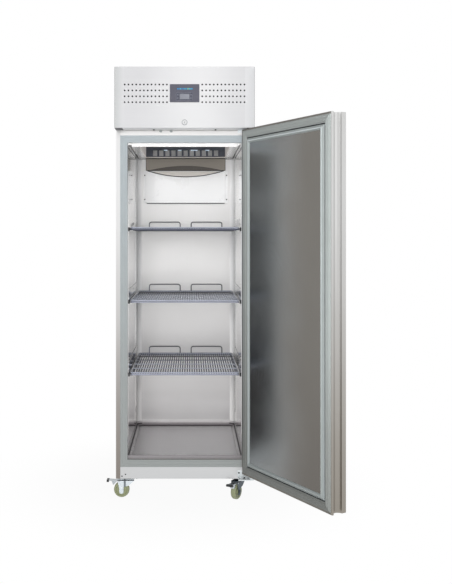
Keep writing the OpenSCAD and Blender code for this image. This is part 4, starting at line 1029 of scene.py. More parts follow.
@dataclass
class Cabinet:
    """The insulated cabinet with its frame, rails and slides.

    Attributes:
        bench: where its pieces are finished.
        looks: CAD node, finish, slot and broken edge of the pieces with one finish.
        rail_split: height over which a face is on the top rail.
        rear_y: Y behind which the liner may be its rear wall.
        floor_z: height under which the liner counts as its floor.
        nut: place of the dark nut on the lower hinge.
        nut_profile: radius and depth of the nut's profile.
        cove_plan: half width, front, rear and height of the line that the floor's cove follows.
        cove_bend: radius of that line's corners.
        cove_r: radius of the cove.
        cove_gap: how far the cove stands off the liner.
        cove_top: height of the flat strip over it.
        cove_foot: width of the flat strip beside it.
        cove_lit: share of its height over which the cove is in the light.
        cove_half: shares of its height between which its corners are half lit.
        cove_mirror: distance from the middle past which the rear wall's cove is fully lit.
    """

    bench: Bench
    looks: tuple[Look, ...] = (
        ("outer_casing", "shell", "stainless", 0.5),
        ("breaker_frame", "frame", "frame_grey", 0.6),
        ("base_pan", "pan", "zinc_plate", 0.0),
        ("pilasters", "liner_side", "liner_steel", 0.3),
        ("shelf_slides", "slide", "liner_steel", 0.3),
        ("slide_end_stops", "black", "black_plastic", 0.8),
        ("door_sensor", "trim", "frame_grey", 0.5),
        ("top_hinge", "hinge", "zinc_plate", 0.5),
        ("cabinet_screws", "screw", "bright_steel", 0.3),
    )
    rail_split: float = 1.7
    rear_y: float = 0.3
    floor_z: float = 0.235
    nut: Point = (0.283, -0.376, 0.1172)
    nut_profile: tuple[Pair, ...] = (
        (0.0, 0.0), (0.0045, 0.0), (0.0045, -0.0012), (0.0038, -0.0018), (0.0, -0.0018)
    )
    cove_plan: Quad = (0.274, -0.316, 0.344, 0.198)
    cove_bend: float = 0.029
    cove_r: float = 0.016
    cove_gap: float = 0.0004
    cove_top: float = 0.011
    cove_foot: float = 0.004
    cove_lit: float = 0.3
    cove_half: Pair = (0.2, 0.4)
    cove_mirror: float = 0.12

    def build(self) -> None:
        """Dress the cabinet's shell, liner and fittings."""
        b = self.bench
        b.polish_all(self.looks)
        b.dress("insulation_foam", "foam")
        liner = ["liner", "liner_side", "liner_rear", "liner_corner", "liner_floor", "liner_lip_shade"]
        b.polish("inner_liner", liner, "liner_steel", 0.0, pick=self.liner_part, cuts=[level(self.floor_z)])
        b.polish("front_rails", ["rail", "rail_top_shade"], "stainless", 0.4, pick=self.is_top_rail)
        b.polish("bottom_hinge", ["hinge", "plate"], "zinc_plate", 0.5, pick=self.is_underside)
        self.build_hinge_nut()
        self.build_cove()

    def is_top_rail(self, middle: Vector, normal: Vector) -> int:
        """Return 1 on the top rail, which takes a darker copy of the rail's steel as painted shade under the
        hood, and 0 on the bottom one.
        """
        return int(middle.z > self.rail_split)

    def is_underside(self, middle: Vector, normal: Vector) -> int:
        """Return 1 on the lower hinge's underside, which takes painted shade."""
        return int(normal.z < -0.5)

    def liner_part(self, middle: Vector, normal: Vector) -> int:
        """Tell the parts of the liner apart.

        Args:
            middle: a face's middle.
            normal: its normal.

        Returns:
            The part that the face is on.
        """
        if middle.y > self.rear_y and normal.y < -0.1:
            return LinerPart.REAR if normal.y < -0.98 else LinerPart.CORNER
        if abs(normal.x) > 0.95:
            return LinerPart.SIDE
        if middle.z < self.floor_z:
            return LinerPart.LIP if normal.y < -0.3 else LinerPart.FLOOR
        return LinerPart.CEILING

    def build_cove(self) -> None:
        """Build the hollow fillet that runs round the cabinet's floor, with its own light and shade."""
        half, front, rear, floor = self.cove_plan
        corner, r, gap = self.cove_bend, self.cove_r, self.cove_gap
        path = [(Vector((-half, front, floor)), Vector((1, 0, 0)))]
        for side, turns in ((-1, range(180, 80, -15)), (1, range(90, -10, -15))):
            middle = Vector((side * (half - corner), rear - corner, floor))
            for turn in turns:
                out = Vector((math.cos(math.radians(turn)), math.sin(math.radians(turn)), 0))
                path.append((middle + out * corner, -out))
        path.append((Vector((half, front, floor)), Vector((-1, 0, 0))))
        steps = [math.radians(90 * k / 8) for k in range(9)]
        bow = [(gap + r - r * math.cos(t), gap + r - r * math.sin(t)) for t in steps]
        profile = [(gap, r + self.cove_top), *bow, (r + self.cove_foot, gap)]
        rings = [[place + inward * u + Vector((0, 0, h)) for u, h in profile] for place, inward in path]
        bm = bmesh.new()
        for face in loft_into(bm, rings, closed=False):
            face.material_index = self.cove_shade(face.calc_center_median())
        self.bench.finish("floor_cove", bm, ["cove_dark", "cove_mid", "cove_light"], "cabinet", "liner_steel")

    def cove_shade(self, middle: Vector) -> int:
        """Choose a face's shade along a side, in a corner or along the rear wall.

        Args:
            middle: a face's middle.

        Returns:
            Its shade.
        """
        half, _, rear, floor = self.cove_plan
        share = (middle.z - floor) / self.cove_r
        lit = share > self.cove_lit
        if share > 1.0:
            return CoveShade.LIGHT
        if middle.y < rear - self.cove_bend:
            return CoveShade.DARK if lit else CoveShade.LIGHT
        if abs(middle.x) > half - self.cove_bend:
            low, high = self.cove_half
            return CoveShade.HALF if low < share < high else CoveShade.DARK
        if lit:
            return CoveShade.LIGHT if abs(middle.x) > self.cove_mirror else CoveShade.HALF
        return CoveShade.DARK

    def build_hinge_nut(self) -> None:
        """Build the dark nut under the pin on the lower hinge's tongue."""
        bm = bmesh.new()
        turn_into(bm, self.nut_profile, self.nut, (0, -1, 0), 24)
        self.bench.finish("hinge_nut", bm, ["screw"], "cabinet", "zinc_plate")


@dataclass
class RearDuct:
    """Evaporator box, grille, deflector and duct cover.

    Attributes:
        bench: where its pieces are finished.
        lip_z: top of the grille's lower lip.
        throat_shade: half width, bottom, top and Y of the dark sheet behind the deflector, painted shade for
            the duct's mouth.
        throat_wall: thickness of the mouth's back.
        vanes: how many upright vanes stand in the mouth.
        vane: half width and depth of a vane.
        scoop_half: half the width of the scoop.
        scoop_depth: how far the scoop dips under the cover's top edge.
        scoop_rim: radius of the rolled rim along the scoop.
        cover: top edge and front plane of the cover.
        sheet: depth behind that plane at which the scoop begins.
        joint: half width, front, back and height of the sealed joint round the ceiling.
        joint_r: radii of the ceiling's joint, the deflector's, its frame's, the upright and the front one.
        joint_foot: where the upright joints end.
        upright_joints: X and Y of the thin upright joints of the walls.
        deflector_top: half width, front and height of the joint over the deflector.
        deflector_foot: height of the joint under the deflector.
        cover_shade: corners of the dark strip of painted shadow in the gap under the cover.
        glowing_cheek: X, front, back, bottom and top of the lining on either side of the ceiling opening,
            which glows as painted light.
        cheek_wall: thickness of that lining.
        lens_row: front and height of the row of lenses.
        lens_size: half height and depth of a lens.
        lenses: places and half widths of the lenses.
        front_joint: half width, front and height of the thin line along the ceiling's front roll.
    """

    bench: Bench
    lip_z: float = 1.7102
    throat_shade: Quad = (0.221, 1.634, 1.7045, 0.3335)
    throat_wall: float = 0.0012
    vanes: int = 9
    vane: Pair = (0.0006, 0.0045)
    scoop_half: float = 0.215
    scoop_depth: float = 0.034
    scoop_rim: float = 0.0024
    cover: Pair = (1.6335, 0.322)
    sheet: float = 0.0014
    joint: Quad = (0.2662, -0.318, 0.3402, 1.7012)
    joint_r: tuple[float, ...] = (0.0015, 0.0016, 0.0012, 0.0006, 0.0008)
    joint_foot: float = 0.215
    upright_joints: tuple[Pair, ...] = ((-0.2725, 0.318), (0.2725, 0.318), (0.2735, 0.16))
    deflector_top: Point = (0.2225, 0.3262, 1.7028)
    deflector_foot: float = 1.6352
    cover_shade: Plane = ((-0.2185, 0.3205, 1.4490), (0.2185, 0.3250, 1.4525))
    glowing_cheek: tuple[float, ...] = (0.2225, -0.236, 0.3115, 1.7055, 1.7745)
    cheek_wall: float = 0.001
    lens_row: Pair = (0.3105, 1.7475)
    lens_size: Pair = (0.0025, 0.004)
    lenses: tuple[Pair, ...] = ((-0.112, 0.01), (-0.033, 0.01), (0.048, 0.02), (0.122, 0.012))
    front_joint: Point = (0.258, -0.3205, 1.7078)

    def build(self) -> None:
        """Dress the air path at the top of the cavity."""
        b = self.bench
        b.polish("evaporator_housing", ["housing"], "foam_housing", 1.0)
        b.polish("evaporator_grille", ["grille", "grille_lip"], "grille_grey", 0.4, pick=self.is_lip)
        b.dress("evaporator_coil", "coil")
        b.polish("duct_deflector", ["deflector"], "liner_steel", 0.3)
        b.polish("duct_cover", ["white", "scoop"], "white_paint", 0.4, pick=self.is_scoop)
        self.build_mouth_shade()
        self.build_scoop_edge()
        self.build_dark_joints()
        self.build_soft_joints()
        self.build_lenses()
        self.build_cheeks()

    def is_lip(self, middle: Vector, normal: Vector) -> int:
        """Return 1 on the grille's lower lip."""
        return int(middle.z < self.lip_z)

    def is_scoop(self, middle: Vector, normal: Vector) -> int:
        """Find the scoop at the cover's top, which takes a darker copy of the enamel as painted shade.

        Args:
            middle: a face's middle.
            normal: its normal.

        Returns:
            1 in the scoop and 0 elsewhere.
        """
        top, front = self.cover
        dips = abs(middle.x) < self.scoop_half and middle.z > top - self.scoop_depth
        return int(dips and middle.y > front + self.sheet)

    def build_dark_joints(self) -> None:
        """Lay the dark sealed joints round the ceiling and round the deflector, and a dark strip of painted
        shadow in the gap under the cover.
        """
        round_r, top_r, side_r = self.joint_r[:3]
        x, y0, y1, z = self.joint
        wide, front, top = self.deflector_top
        foot = self.deflector_foot
        bm = bmesh.new()
        bend_into(bm, [(-x, y0, z), (-x, y1, z), (x, y1, z), (x, y0, z)], round_r, 0.02, 8)
        rod_into(bm, (-wide, front, top), (wide, front, top), top_r, 8)
        rod_into(bm, (-wide, front, foot), (wide, front, foot), side_r, 8)
        for side in SIDES:
            rod_into(bm, (side * wide, front, foot), (side * wide, front, top), side_r, 8)
        box_into(bm, *self.cover_shade, 0.0005, 1)
        self.bench.finish("ceiling_joint_and_shadow", bm, ["joint"], "cabinet", "liner_steel")

    def build_soft_joints(self) -> None:
        """Lay the pale sealed joints down the walls and along the ceiling's front roll."""
        upright_r, front_r = self.joint_r[3:]
        top = self.joint[3]
        bm = bmesh.new()
        for x, y in self.upright_joints:
            rod_into(bm, (x, y, self.joint_foot), (x, y, top), upright_r, 8)
        wide, front, z = self.front_joint
        rod_into(bm, (-wide, front, z), (wide, front, z), front_r, 8)
        self.bench.finish("corner_joints", bm, ["soft_joint"], "cabinet", "liner_steel")

    def build_cheeks(self) -> None:
        """Line the two sides of the ceiling opening with pale sheet that glows: painted light, where the
        opening is in shade.
        """
        x, y0, y1, z0, z1 = self.glowing_cheek
        bm = bmesh.new()
        for side in SIDES:
            inner, outer = sorted((side * x, side * (x - self.cheek_wall)))
            box_into(bm, (inner, y0, z0), (outer, y1, z1), 0.0003)
        self.bench.finish("opening_cheeks", bm, ["glowing_cheek"], "cabinet", "white_paint")

    def build_lenses(self) -> None:
        """Build the small lenses of the ceiling light over the grille."""
        y, z = self.lens_row
        tall, deep = self.lens_size
        bm = bmesh.new()
        for x, half in self.lenses:
            box_into(bm, (x - half, y, z - tall), (x + half, y + deep, z + tall), 0.0012, 3)
        self.bench.finish("light_lenses", bm, ["lens"], "cabinet", "white_paint")

    def build_mouth_shade(self) -> None:
        """Build a dark sheet with vanes that shows under the deflector's arch: painted shade for the duct's
        mouth.
        """
        half, z0, z1, y = self.throat_shade
        thin, deep = self.vane
        bm = bmesh.new()
        box_into(bm, (-half, y, z0), (half, y + self.throat_wall, z1), 0.0003, 1)
        for k in range(self.vanes):
            x = -half + (k + 1) * 2 * half / (self.vanes + 1)
            box_into(bm, (x - thin, y - deep, z0), (x + thin, y, z1), 0.0002, 1)
        self.bench.finish("duct_mouth_shade", bm, ["throat_shade"], "cabinet", "liner_steel", smooth=30)

    def build_scoop_edge(self) -> None:
        """Build the rolled rim along the scoop's curve, in the dark groove finish: a painted shadow line."""
        top, front = self.cover
        half, depth = self.scoop_half, self.scoop_depth
        radius = (half * half + depth * depth) / (2 * depth)
        reach = math.asin(half / radius)
        steps, sides = 48, 10
        turns = [math.tau * j / sides for j in range(sides)]
        rings = []
        for k in range(steps + 1):
            a = -reach + 2 * reach * k / steps
            middle = Vector((radius * math.sin(a), front, top - depth + radius * (1 - math.cos(a))))
            out = Vector((-math.sin(a), 0.0, math.cos(a)))
            ways = [out * math.cos(t) + Vector((0, 1, 0)) * math.sin(t) for t in turns]
            rings.append([middle + way * self.scoop_rim for way in ways])
        bm = bmesh.new()
        loft_into(bm, rings, cap=True)
        self.bench.finish("scoop_rim", bm, ["groove"], "cabinet", "white_paint")


@dataclass
class CoolingUnit:
    """Condensing unit behind the hood.

    Attributes:
        bench: where its pieces are finished.
        looks: CAD node, finish, slot and broken edge of each of its pieces.
    """

    bench: Bench
    looks: tuple[Look, ...] = (
        ("unit_side_panels", "shell", "stainless", 0.4),
        ("unit_top_cover", "hood", "stainless", 0.3),
        ("unit_rear_grille", "shell", "stainless", 0.3),
        ("unit_chassis", "pan", "zinc_plate", 0.4),
        ("compressor", "enamel", "compressor_black", 0.8),
        ("condenser_shroud", "pan", "zinc_plate", 0.3),
        ("condensate_tray", "black", "black_plastic", 0.8),
        ("pipework", "copper", "copper_pipe", 0.0),
        ("control_box", "box", "frame_grey", 1.0),
        ("cable_gland", "black", "black_plastic", 0.6),
        ("fan_motors", "black", "black_plastic", 0.8),
        ("evaporator_fan", "black", "black_plastic", 0.3),
        ("condenser_fan", "black", "black_plastic", 0.3),
    )

    def build(self) -> None:
        """Dress what is inside the compartment and its panels."""
        self.bench.polish_all(self.looks)
        self.bench.dress("condenser_coil", "fin")


@dataclass
class Hood:
    """Perforated hood with its controller and lock.

    Attributes:
        bench: where its pieces are finished.
        looks: CAD node, finish, slot and broken edge of the pieces with one finish.
        face_y: front plane of the controller's bezel.
        marks: places in millimetres and finishes of the lit marks.
        mark: half width, bottom and top of a mark.
        module: low X, low Z, high X and high Z of the controller's inner frame.
        window: low X, low Z, high X and high Z of the window in it.
        module_wall: width of the frame's outer line.
        key_profile: radius and depth of a key's profile.
        key_inset: how far a key stands in from the frame's side and from its bottom or top.
        filter_box: inner X, outer X, bottom and top of a dust filter.
        filter_y: front of the dust filters.
        pleats: how many flat strips a filter is folded into.
        pleat: depth of a fold and thickness of the pad.
        lock: middle of the lock's face.
        seam_profile: radius and depth of the seam round the lock.
        slot: half width, bottom, top, low Y and high Y of the key slot, Y from the barrel's front.
        slot_turn: angle in degrees at which the slot stands.
        half_w: half the hood's width.
        front_y: the hood's front plane.
        lip_z: height under which a face may be on the hood's lower lip.
        lip_end: where the ends of its underside that take painted shade begin.
        shade_x: where the front sheet's shaded sides begin.
        rail_joint: half width, Y and height of the joint over the top rail.
        rail_joint_r: radius of that joint.
    """

    bench: Bench
    looks: tuple[Look, ...] = (
        ("control_panel", "slate", "panel_slate", 0.6),
        ("display_window", "glass", "display_glass", 0.2),
        ("lock_housing", "hood", "zinc_plate", 0.5),
        ("lock_barrel", "hood", "bright_steel", 0.3),
        ("lock_bolt", "zinc", "zinc_plate", 0.4),
    )
    face_y: float = -0.413
    marks: tuple[tuple[float, str], ...] = (
        (-33, "blue"), (-26, "blue"), (-19, "cyan"), (-12, "blue"), (-5, "blue"), (2, "cyan"),
        (9, "blue"), (16, "green"), (23, "cyan"), (30, "cyan"), (36, "blue"),
    )
    mark: Point = (0.0026, 1.9552, 1.9618)
    module: Quad = (-0.040, 1.9035, 0.038, 1.9415)
    window: Quad = (-0.0231, 1.9094, 0.0231, 1.9346)
    module_wall: float = 0.0012
    key_profile: tuple[Pair, ...] = ((0.0, -0.0007), (0.0028, -0.0007), (0.0034, -0.0003), (0.0034, 0.0002))
    key_inset: Pair = (0.008, 0.011)
    filter_box: Quad = (0.076, 0.295, 1.885, 1.99)
    filter_y: float = -0.4055
    pleats: int = 36
    pleat: Pair = (0.004, 0.0009)
    lock: Point = (0.0, -0.412, 1.8008)
    seam_profile: tuple[Pair, ...] = (
        (0.0112, -0.0003), (0.0114, -0.0008), (0.0126, -0.0008), (0.0128, -0.0002), (0.0128, 0.0018)
    )
    slot: tuple[float, ...] = (0.0007, -0.0055, 0.0055, -0.0001, 0.0012)
    slot_turn: float = 20.0
    half_w: float = 0.33
    front_y: float = -0.41
    lip_z: float = 1.778
    lip_end: float = 0.293
    shade_x: float = 0.284
    rail_joint: Point = (0.3, -0.3365, 1.7722)
    rail_joint_r: float = 0.0013

    def build(self) -> None:
        """Dress the hood and build the controller's face."""
        b = self.bench
        b.polish_all(self.looks)
        b.polish(
            "hood_fascia", ["hood", "seam", "hood_shade_left", "hood_shade_right"], "stainless", 0.25,
            pick=self.fascia_part, rim=self.is_side_edge,
            cuts=[upright(side * self.shade_x) for side in SIDES],
        )
        b.polish(
            "hood_returns", ["hood", "seam"], "stainless", 0.25, pick=self.is_dark_end,
            cuts=[upright(side * self.lip_end) for side in SIDES],
        )
        self.build_module()
        self.build_marks()
        self.build_filters()
        self.build_lock_ring()
        self.build_key_slot()
        self.build_rail_joint()

    def fascia_part(self, middle: Vector, normal: Vector) -> int:
        """Return which finish a face of the front sheet takes: middle, left side or right side; the sides
        take darker copies of the steel as painted shade.
        """
        return 0 if abs(middle.x) < self.shade_x else 2 + int(middle.x > 0)

    def is_side_edge(self, middle: Vector, way: Vector) -> int:
        """Find the two long outer edges of the front sheet, which are cut broad and take painted shade.

        Args:
            middle: an edge's middle.
            way: its direction.

        Returns:
            1 on one of them and 0 elsewhere.
        """
        close = 0.1 * MM
        outer = abs(middle.x) > self.half_w - close and middle.y < self.front_y + close
        return int(outer and abs(way.z) > 0.9)

    def is_dark_end(self, middle: Vector, normal: Vector) -> int:
        """Return 1 on either end of the hood's underside, where it stands over the jambs and takes painted
        shade.
        """
        return int(normal.z < -0.55 and middle.z < self.lip_z and abs(middle.x) > self.lip_end)

    def build_rail_joint(self) -> None:
        """Build the thin joint between the hood and the top rail."""
        x, y, z = self.rail_joint
        bm = bmesh.new()
        rod_into(bm, (-x, y, z), (x, y, z), self.rail_joint_r, 8)
        self.bench.finish("rail_joint", bm, ["soft_joint"], "cabinet", "stainless")

    def build_filters(self) -> None:
        """Build the two pleated dust filters behind the perforations, near-black as painted shade behind the
        holes.
        """
        low_x, high_x, low_z, high_z = self.filter_box
        depth, thick = self.pleat
        step = (high_x - low_x) / self.pleats
        for name, side in (("dust_filter_left", -1), ("dust_filter_right", 1)):
            folds = [
                (side * (low_x + k * step), self.filter_y + (depth if k % 2 else 0.0))
                for k in range(self.pleats + 1)
            ]
            rings = [[Vector((x, y, z)) for x, y in folds] for z in (low_z, (low_z + high_z) / 2, high_z)]
            bm = bmesh.new()
            loft_into(bm, rings, closed=False)
            obj = self.bench.finish(name, bm, ["filter"], "cabinet", "black_plastic", smooth=20)
            wall = obj.modifiers.new("wall", "SOLIDIFY")
            wall.thickness = thick
            wall.offset = 0.0

    def build_lock_ring(self) -> None:
        """Build the dark seam round the lock's rosette."""
        bm = bmesh.new()
        turn_into(bm, self.seam_profile, self.lock, (0, 1, 0), 64)
        self.bench.finish("lock_seam", bm, ["bezel"], "cabinet", "zinc_plate")

    def build_key_slot(self) -> None:
        """Build the shadow in the lock's key slot."""
        half, low, high, near, far = self.slot
        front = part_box("lock_barrel")[0].y
        turn = Matrix.Rotation(math.radians(self.slot_turn), 3, "Y")
        bm = bmesh.new()
        box_into(bm, (-half, front + near, low), (half, front + far, high), 0.0004)
        bmesh.ops.rotate(bm, verts=bm.verts, cent=(0, 0, 0), matrix=turn)
        bmesh.ops.translate(bm, verts=bm.verts, vec=(self.lock[0], 0, self.lock[2]))
        self.bench.finish("key_slot", bm, ["bezel"], "lock_barrel", "bright_steel")

    def build_module(self) -> None:
        """Build the raised frame of the controller round its window, with four keys."""
        x0, z0, x1, z1 = self.module
        wall, y = self.module_wall, self.face_y
        inner = (x0 + wall, z0 + wall, x1 - wall, z1 - wall)
        across, up = self.key_inset
        bm = bmesh.new()
        self.bars_into(bm, inner, self.window, (y - 0.0003, y + 0.0001), tall=True)
        for face in bm.faces:
            face.material_index = 1
        self.bars_into(bm, self.module, inner, (y - 0.0006, y + 0.0002), round_by=0.0002)
        for x in (x0 + across, x1 - across):
            for z in (z0 + up, z1 - up):
                turn_into(bm, self.key_profile, (x, y, z), (0, 1, 0), 24)
        self.bench.finish("controller_keys", bm, ["module", "bezel"], "cabinet", "panel_slate")

    def bars_into(
        self, bm: Mesh, outer: Quad, inner: Quad, depth: Pair, tall: bool = False, round_by: float = 0.0
    ) -> None:
        """Add the four bars of a flat frame.

        Args:
            bm: the mesh to add to.
            outer: low X, low Z, high X and high Z of the frame.
            inner: the same of its opening.
            depth: its front and back.
            tall: whether the upright bars take the corners.
            round_by: width of the rounding of its edges.
        """
        x0, z0, x1, z1 = outer
        a0, c0, a1, c1 = inner
        if tall:
            bars = [(x0, z0, a0, z1), (a1, z0, x1, z1), (a0, z0, a1, c0), (a0, c1, a1, z1)]
        else:
            bars = [(x0, z0, x1, c0), (x0, c1, x1, z1), (x0, c0, a0, c1), (a1, c0, x1, c1)]
        for low_x, low_z, high_x, high_z in bars:
            box_into(bm, (low_x, depth[0], low_z), (high_x, depth[1], high_z), round_by)

    def build_marks(self) -> None:
        """Build the row of lit marks over the window."""
        half, low, high = self.mark
        y, thick = self.face_y, 0.0002
        order = ["blue", "cyan", "green"]
        bm = bmesh.new()
        for place, colour in self.marks:
            x = place * MM
            for face in box_into(bm, (x - half, y - thick, low), (x + half, y + thick, high), 0.0008):
                face.material_index = order.index(colour)
        self.bench.finish("controller_marks", bm, order, "cabinet", "display_glass")


@dataclass
class DoorLeaf:
    """The insulated door. Its sizes are those of the closed door, and it is drawn open.

    Attributes:
        bench: where its pieces are finished.
        pin: X and Y of the hinge pin.
        angle: angle in degrees at which the door stands.
        half_w: half its width.
        z0: its bottom.
        z1: its top.
        y_in: Y of its inner steel edge when closed.
        edge: width of the steel edge round the gasket.
        return_y: how far behind that edge's plane the steel return still begins.
        gasket: inset from that edge and height of the gasket's profile, in millimetres.
        frame: inset and height of the plastic frame's profile, in millimetres.
        groove: insets and height in millimetres between and under which the frame is a groove.
        ridge: insets in millimetres between which the frame is lit.
        free_half: half the length of the free edge that is lit.
    """

    bench: Bench
    pin: Pair = (0.317, -0.391)
    angle: float = 120.0
    half_w: float = 0.325
    z0: float = 0.147
    z1: float = 1.767
    y_in: float = -0.3415
    edge: float = 0.008
    return_y: float = 0.0025
    gasket: tuple[Pair, ...] = (
        (0.3, 0.1), (0.3, 1.4), (1.2, 2.6), (3.2, 3.4), (5.6, 3.7), (6.4, 5.2), (8.2, 5.9), (11, 6.0),
        (15.6, 6.0), (16.2, 5.4), (17.8, 5.4), (18.4, 6.0), (23, 6.0), (25.8, 5.9), (27.6, 5.2), (28.4, 3.7),
        (30.8, 3.4), (32.8, 2.6), (33.7, 1.4), (33.7, 0.1),
    )
    frame: tuple[Pair, ...] = (
        (0.2, -7.5), (0.2, 0.0), (34.2, 0.0), (34.4, -6.0), (38.6, -6.0), (38.8, 1.2), (39.6, 2.4),
        (43.0, 4.6), (44.0, 4.6), (44.6, 4.0), (45.2, 5.2), (48.2, 8.6), (49.6, 9.7), (51.2, 10.0),
        (53.4, 10.0), (54.6, 9.4), (59.6, 4.4), (60.0, 3.4), (60.0, -7.5),
    )
    groove: Point = (33.8, 38.9, 0.8)
    ridge: Pair = (47.0, 53.6)
    free_half: float = 0.3

    def turn(self, p: Vector, angle: float) -> Vector:
        """Return a point turned about the pin by an angle in degrees."""
        pin = Vector((*self.pin, 0.0))
        return Matrix.Rotation(math.radians(angle), 3, "Z") @ (p - pin) + pin

    def out(self, p: Vector) -> Vector:
        """Return where a point of the closed door is on the open one."""
        return self.turn(p, self.angle)

    def back(self, p: Vector) -> Vector:
        """Return where a point of the open door is on the closed one."""
        return self.turn(p, -self.angle)

    def build(self) -> None:
        """Dress the door's skin and fittings and build its gasket and inner frame."""
        b = self.bench
        split = self.out(Vector((self.edge - self.half_w, self.y_in, 0.0)))
        across = self.out(Vector((self.pin[0] + 1.0, self.pin[1], 0.0))) - Vector((*self.pin, 0.0))
        cuts = [(tuple(split), tuple(across))]
        b.polish("door_skin", ["door", "door_edge"], "stainless", 0.6, pick=self.is_return, cuts=cuts)
        b.dress("door_foam", "foam")
        # The inner panel takes painted shade with a band of painted light.
        b.polish("door_inner_panel", ["inner"], "liner_steel", 0.0)
        b.polish("hinge_bushes", ["black"], "black_plastic", 0.3)
        looks = ["gasket", "gasket_light"]
        self.build_ring("door_gasket", self.gasket, looks, "gasket_vinyl", self.gasket_part)
        looks = ["trim", "groove", "trim_light", "groove_light"]
        self.build_ring("door_inner_frame", self.frame, looks, "frame_grey", self.frame_part)

    def gasket_part(self, inset: float, height: float, free: bool) -> int:
        """Return 1 on the gasket's lit free edge and 0 elsewhere."""
        return int(free)

    def frame_part(self, inset: float, height: float, free: bool) -> int:
        """Choose a face's finish on the inner frame.

        Args:
            inset: its inset from the steel edge in millimetres.
            height: its height over that edge in millimetres.
            free: whether it is on the free edge.

        Returns:
            0 for plain, 1 for the groove, 2 for lit and 3 for the lit groove.
        """
        low, high, under = self.groove
        if low < inset < high and height < under:
            return 1 + 2 * int(free)
        return 2 * int(self.ridge[0] < inset < self.ridge[1])

    def is_return(self, middle: Vector, normal: Vector) -> int:
        """Find where the skin takes painted shade: the steel return that faces the cabinet, but for its lit
        free edge, and the door's ends.

        Args:
            middle: a face's middle.
            normal: its normal.

        Returns:
            1 on one of them and 0 elsewhere.
        """
        closed = self.back(middle)
        facing = Matrix.Rotation(math.radians(-self.angle), 3, "Z") @ normal
        lit = closed.x < self.edge - self.half_w
        inside = closed.y > self.y_in - self.return_y and facing.y > 0.5
        return int(inside and not lit or abs(normal.z) > 0.8)

    def build_ring(
        self, node: str, profile: Sequence[Pair], finishes: Sequence[str], slot: str,
        pick: Callable[[float, float, bool], int],
    ) -> None:
        """Carry a profile round the door's inner face, mitred at its corners.

        Args:
            node: the CAD node that the ring replaces.
            profile: inset from the steel edge and height over it, in millimetres.
            finishes: finishes, in the order of the material indices.
            slot: the record's material slot.
            pick: takes a face's inset and height and whether it is on the free edge, and gives its index.
        """
        rings = []
        for sx, sz in ((-1, -1), (1, -1), (1, 1), (-1, 1), (-1, -1)):
            ring = []
            for u, h in profile:
                inset = self.edge + u * MM
                x = sx * (self.half_w - inset)
                z = self.z0 + inset if sz < 0 else self.z1 - inset
                ring.append(self.out(Vector((x, self.y_in + h * MM, z))))
            rings.append(ring)
        bm = bmesh.new()
        for face in loft_into(bm, rings):
            closed = self.back(face.calc_center_median())
            inset = min(self.half_w - abs(closed.x), closed.z - self.z0, self.z1 - closed.z) - self.edge
            free = closed.x < 0 and abs(closed.z - (self.z0 + self.z1) / 2) < self.free_half
            face.material_index = pick(inset / MM, (closed.y - self.y_in) / MM, free)
        self.bench.finish(node + "_look", bm, finishes, "door", slot, (node,), 24.0)


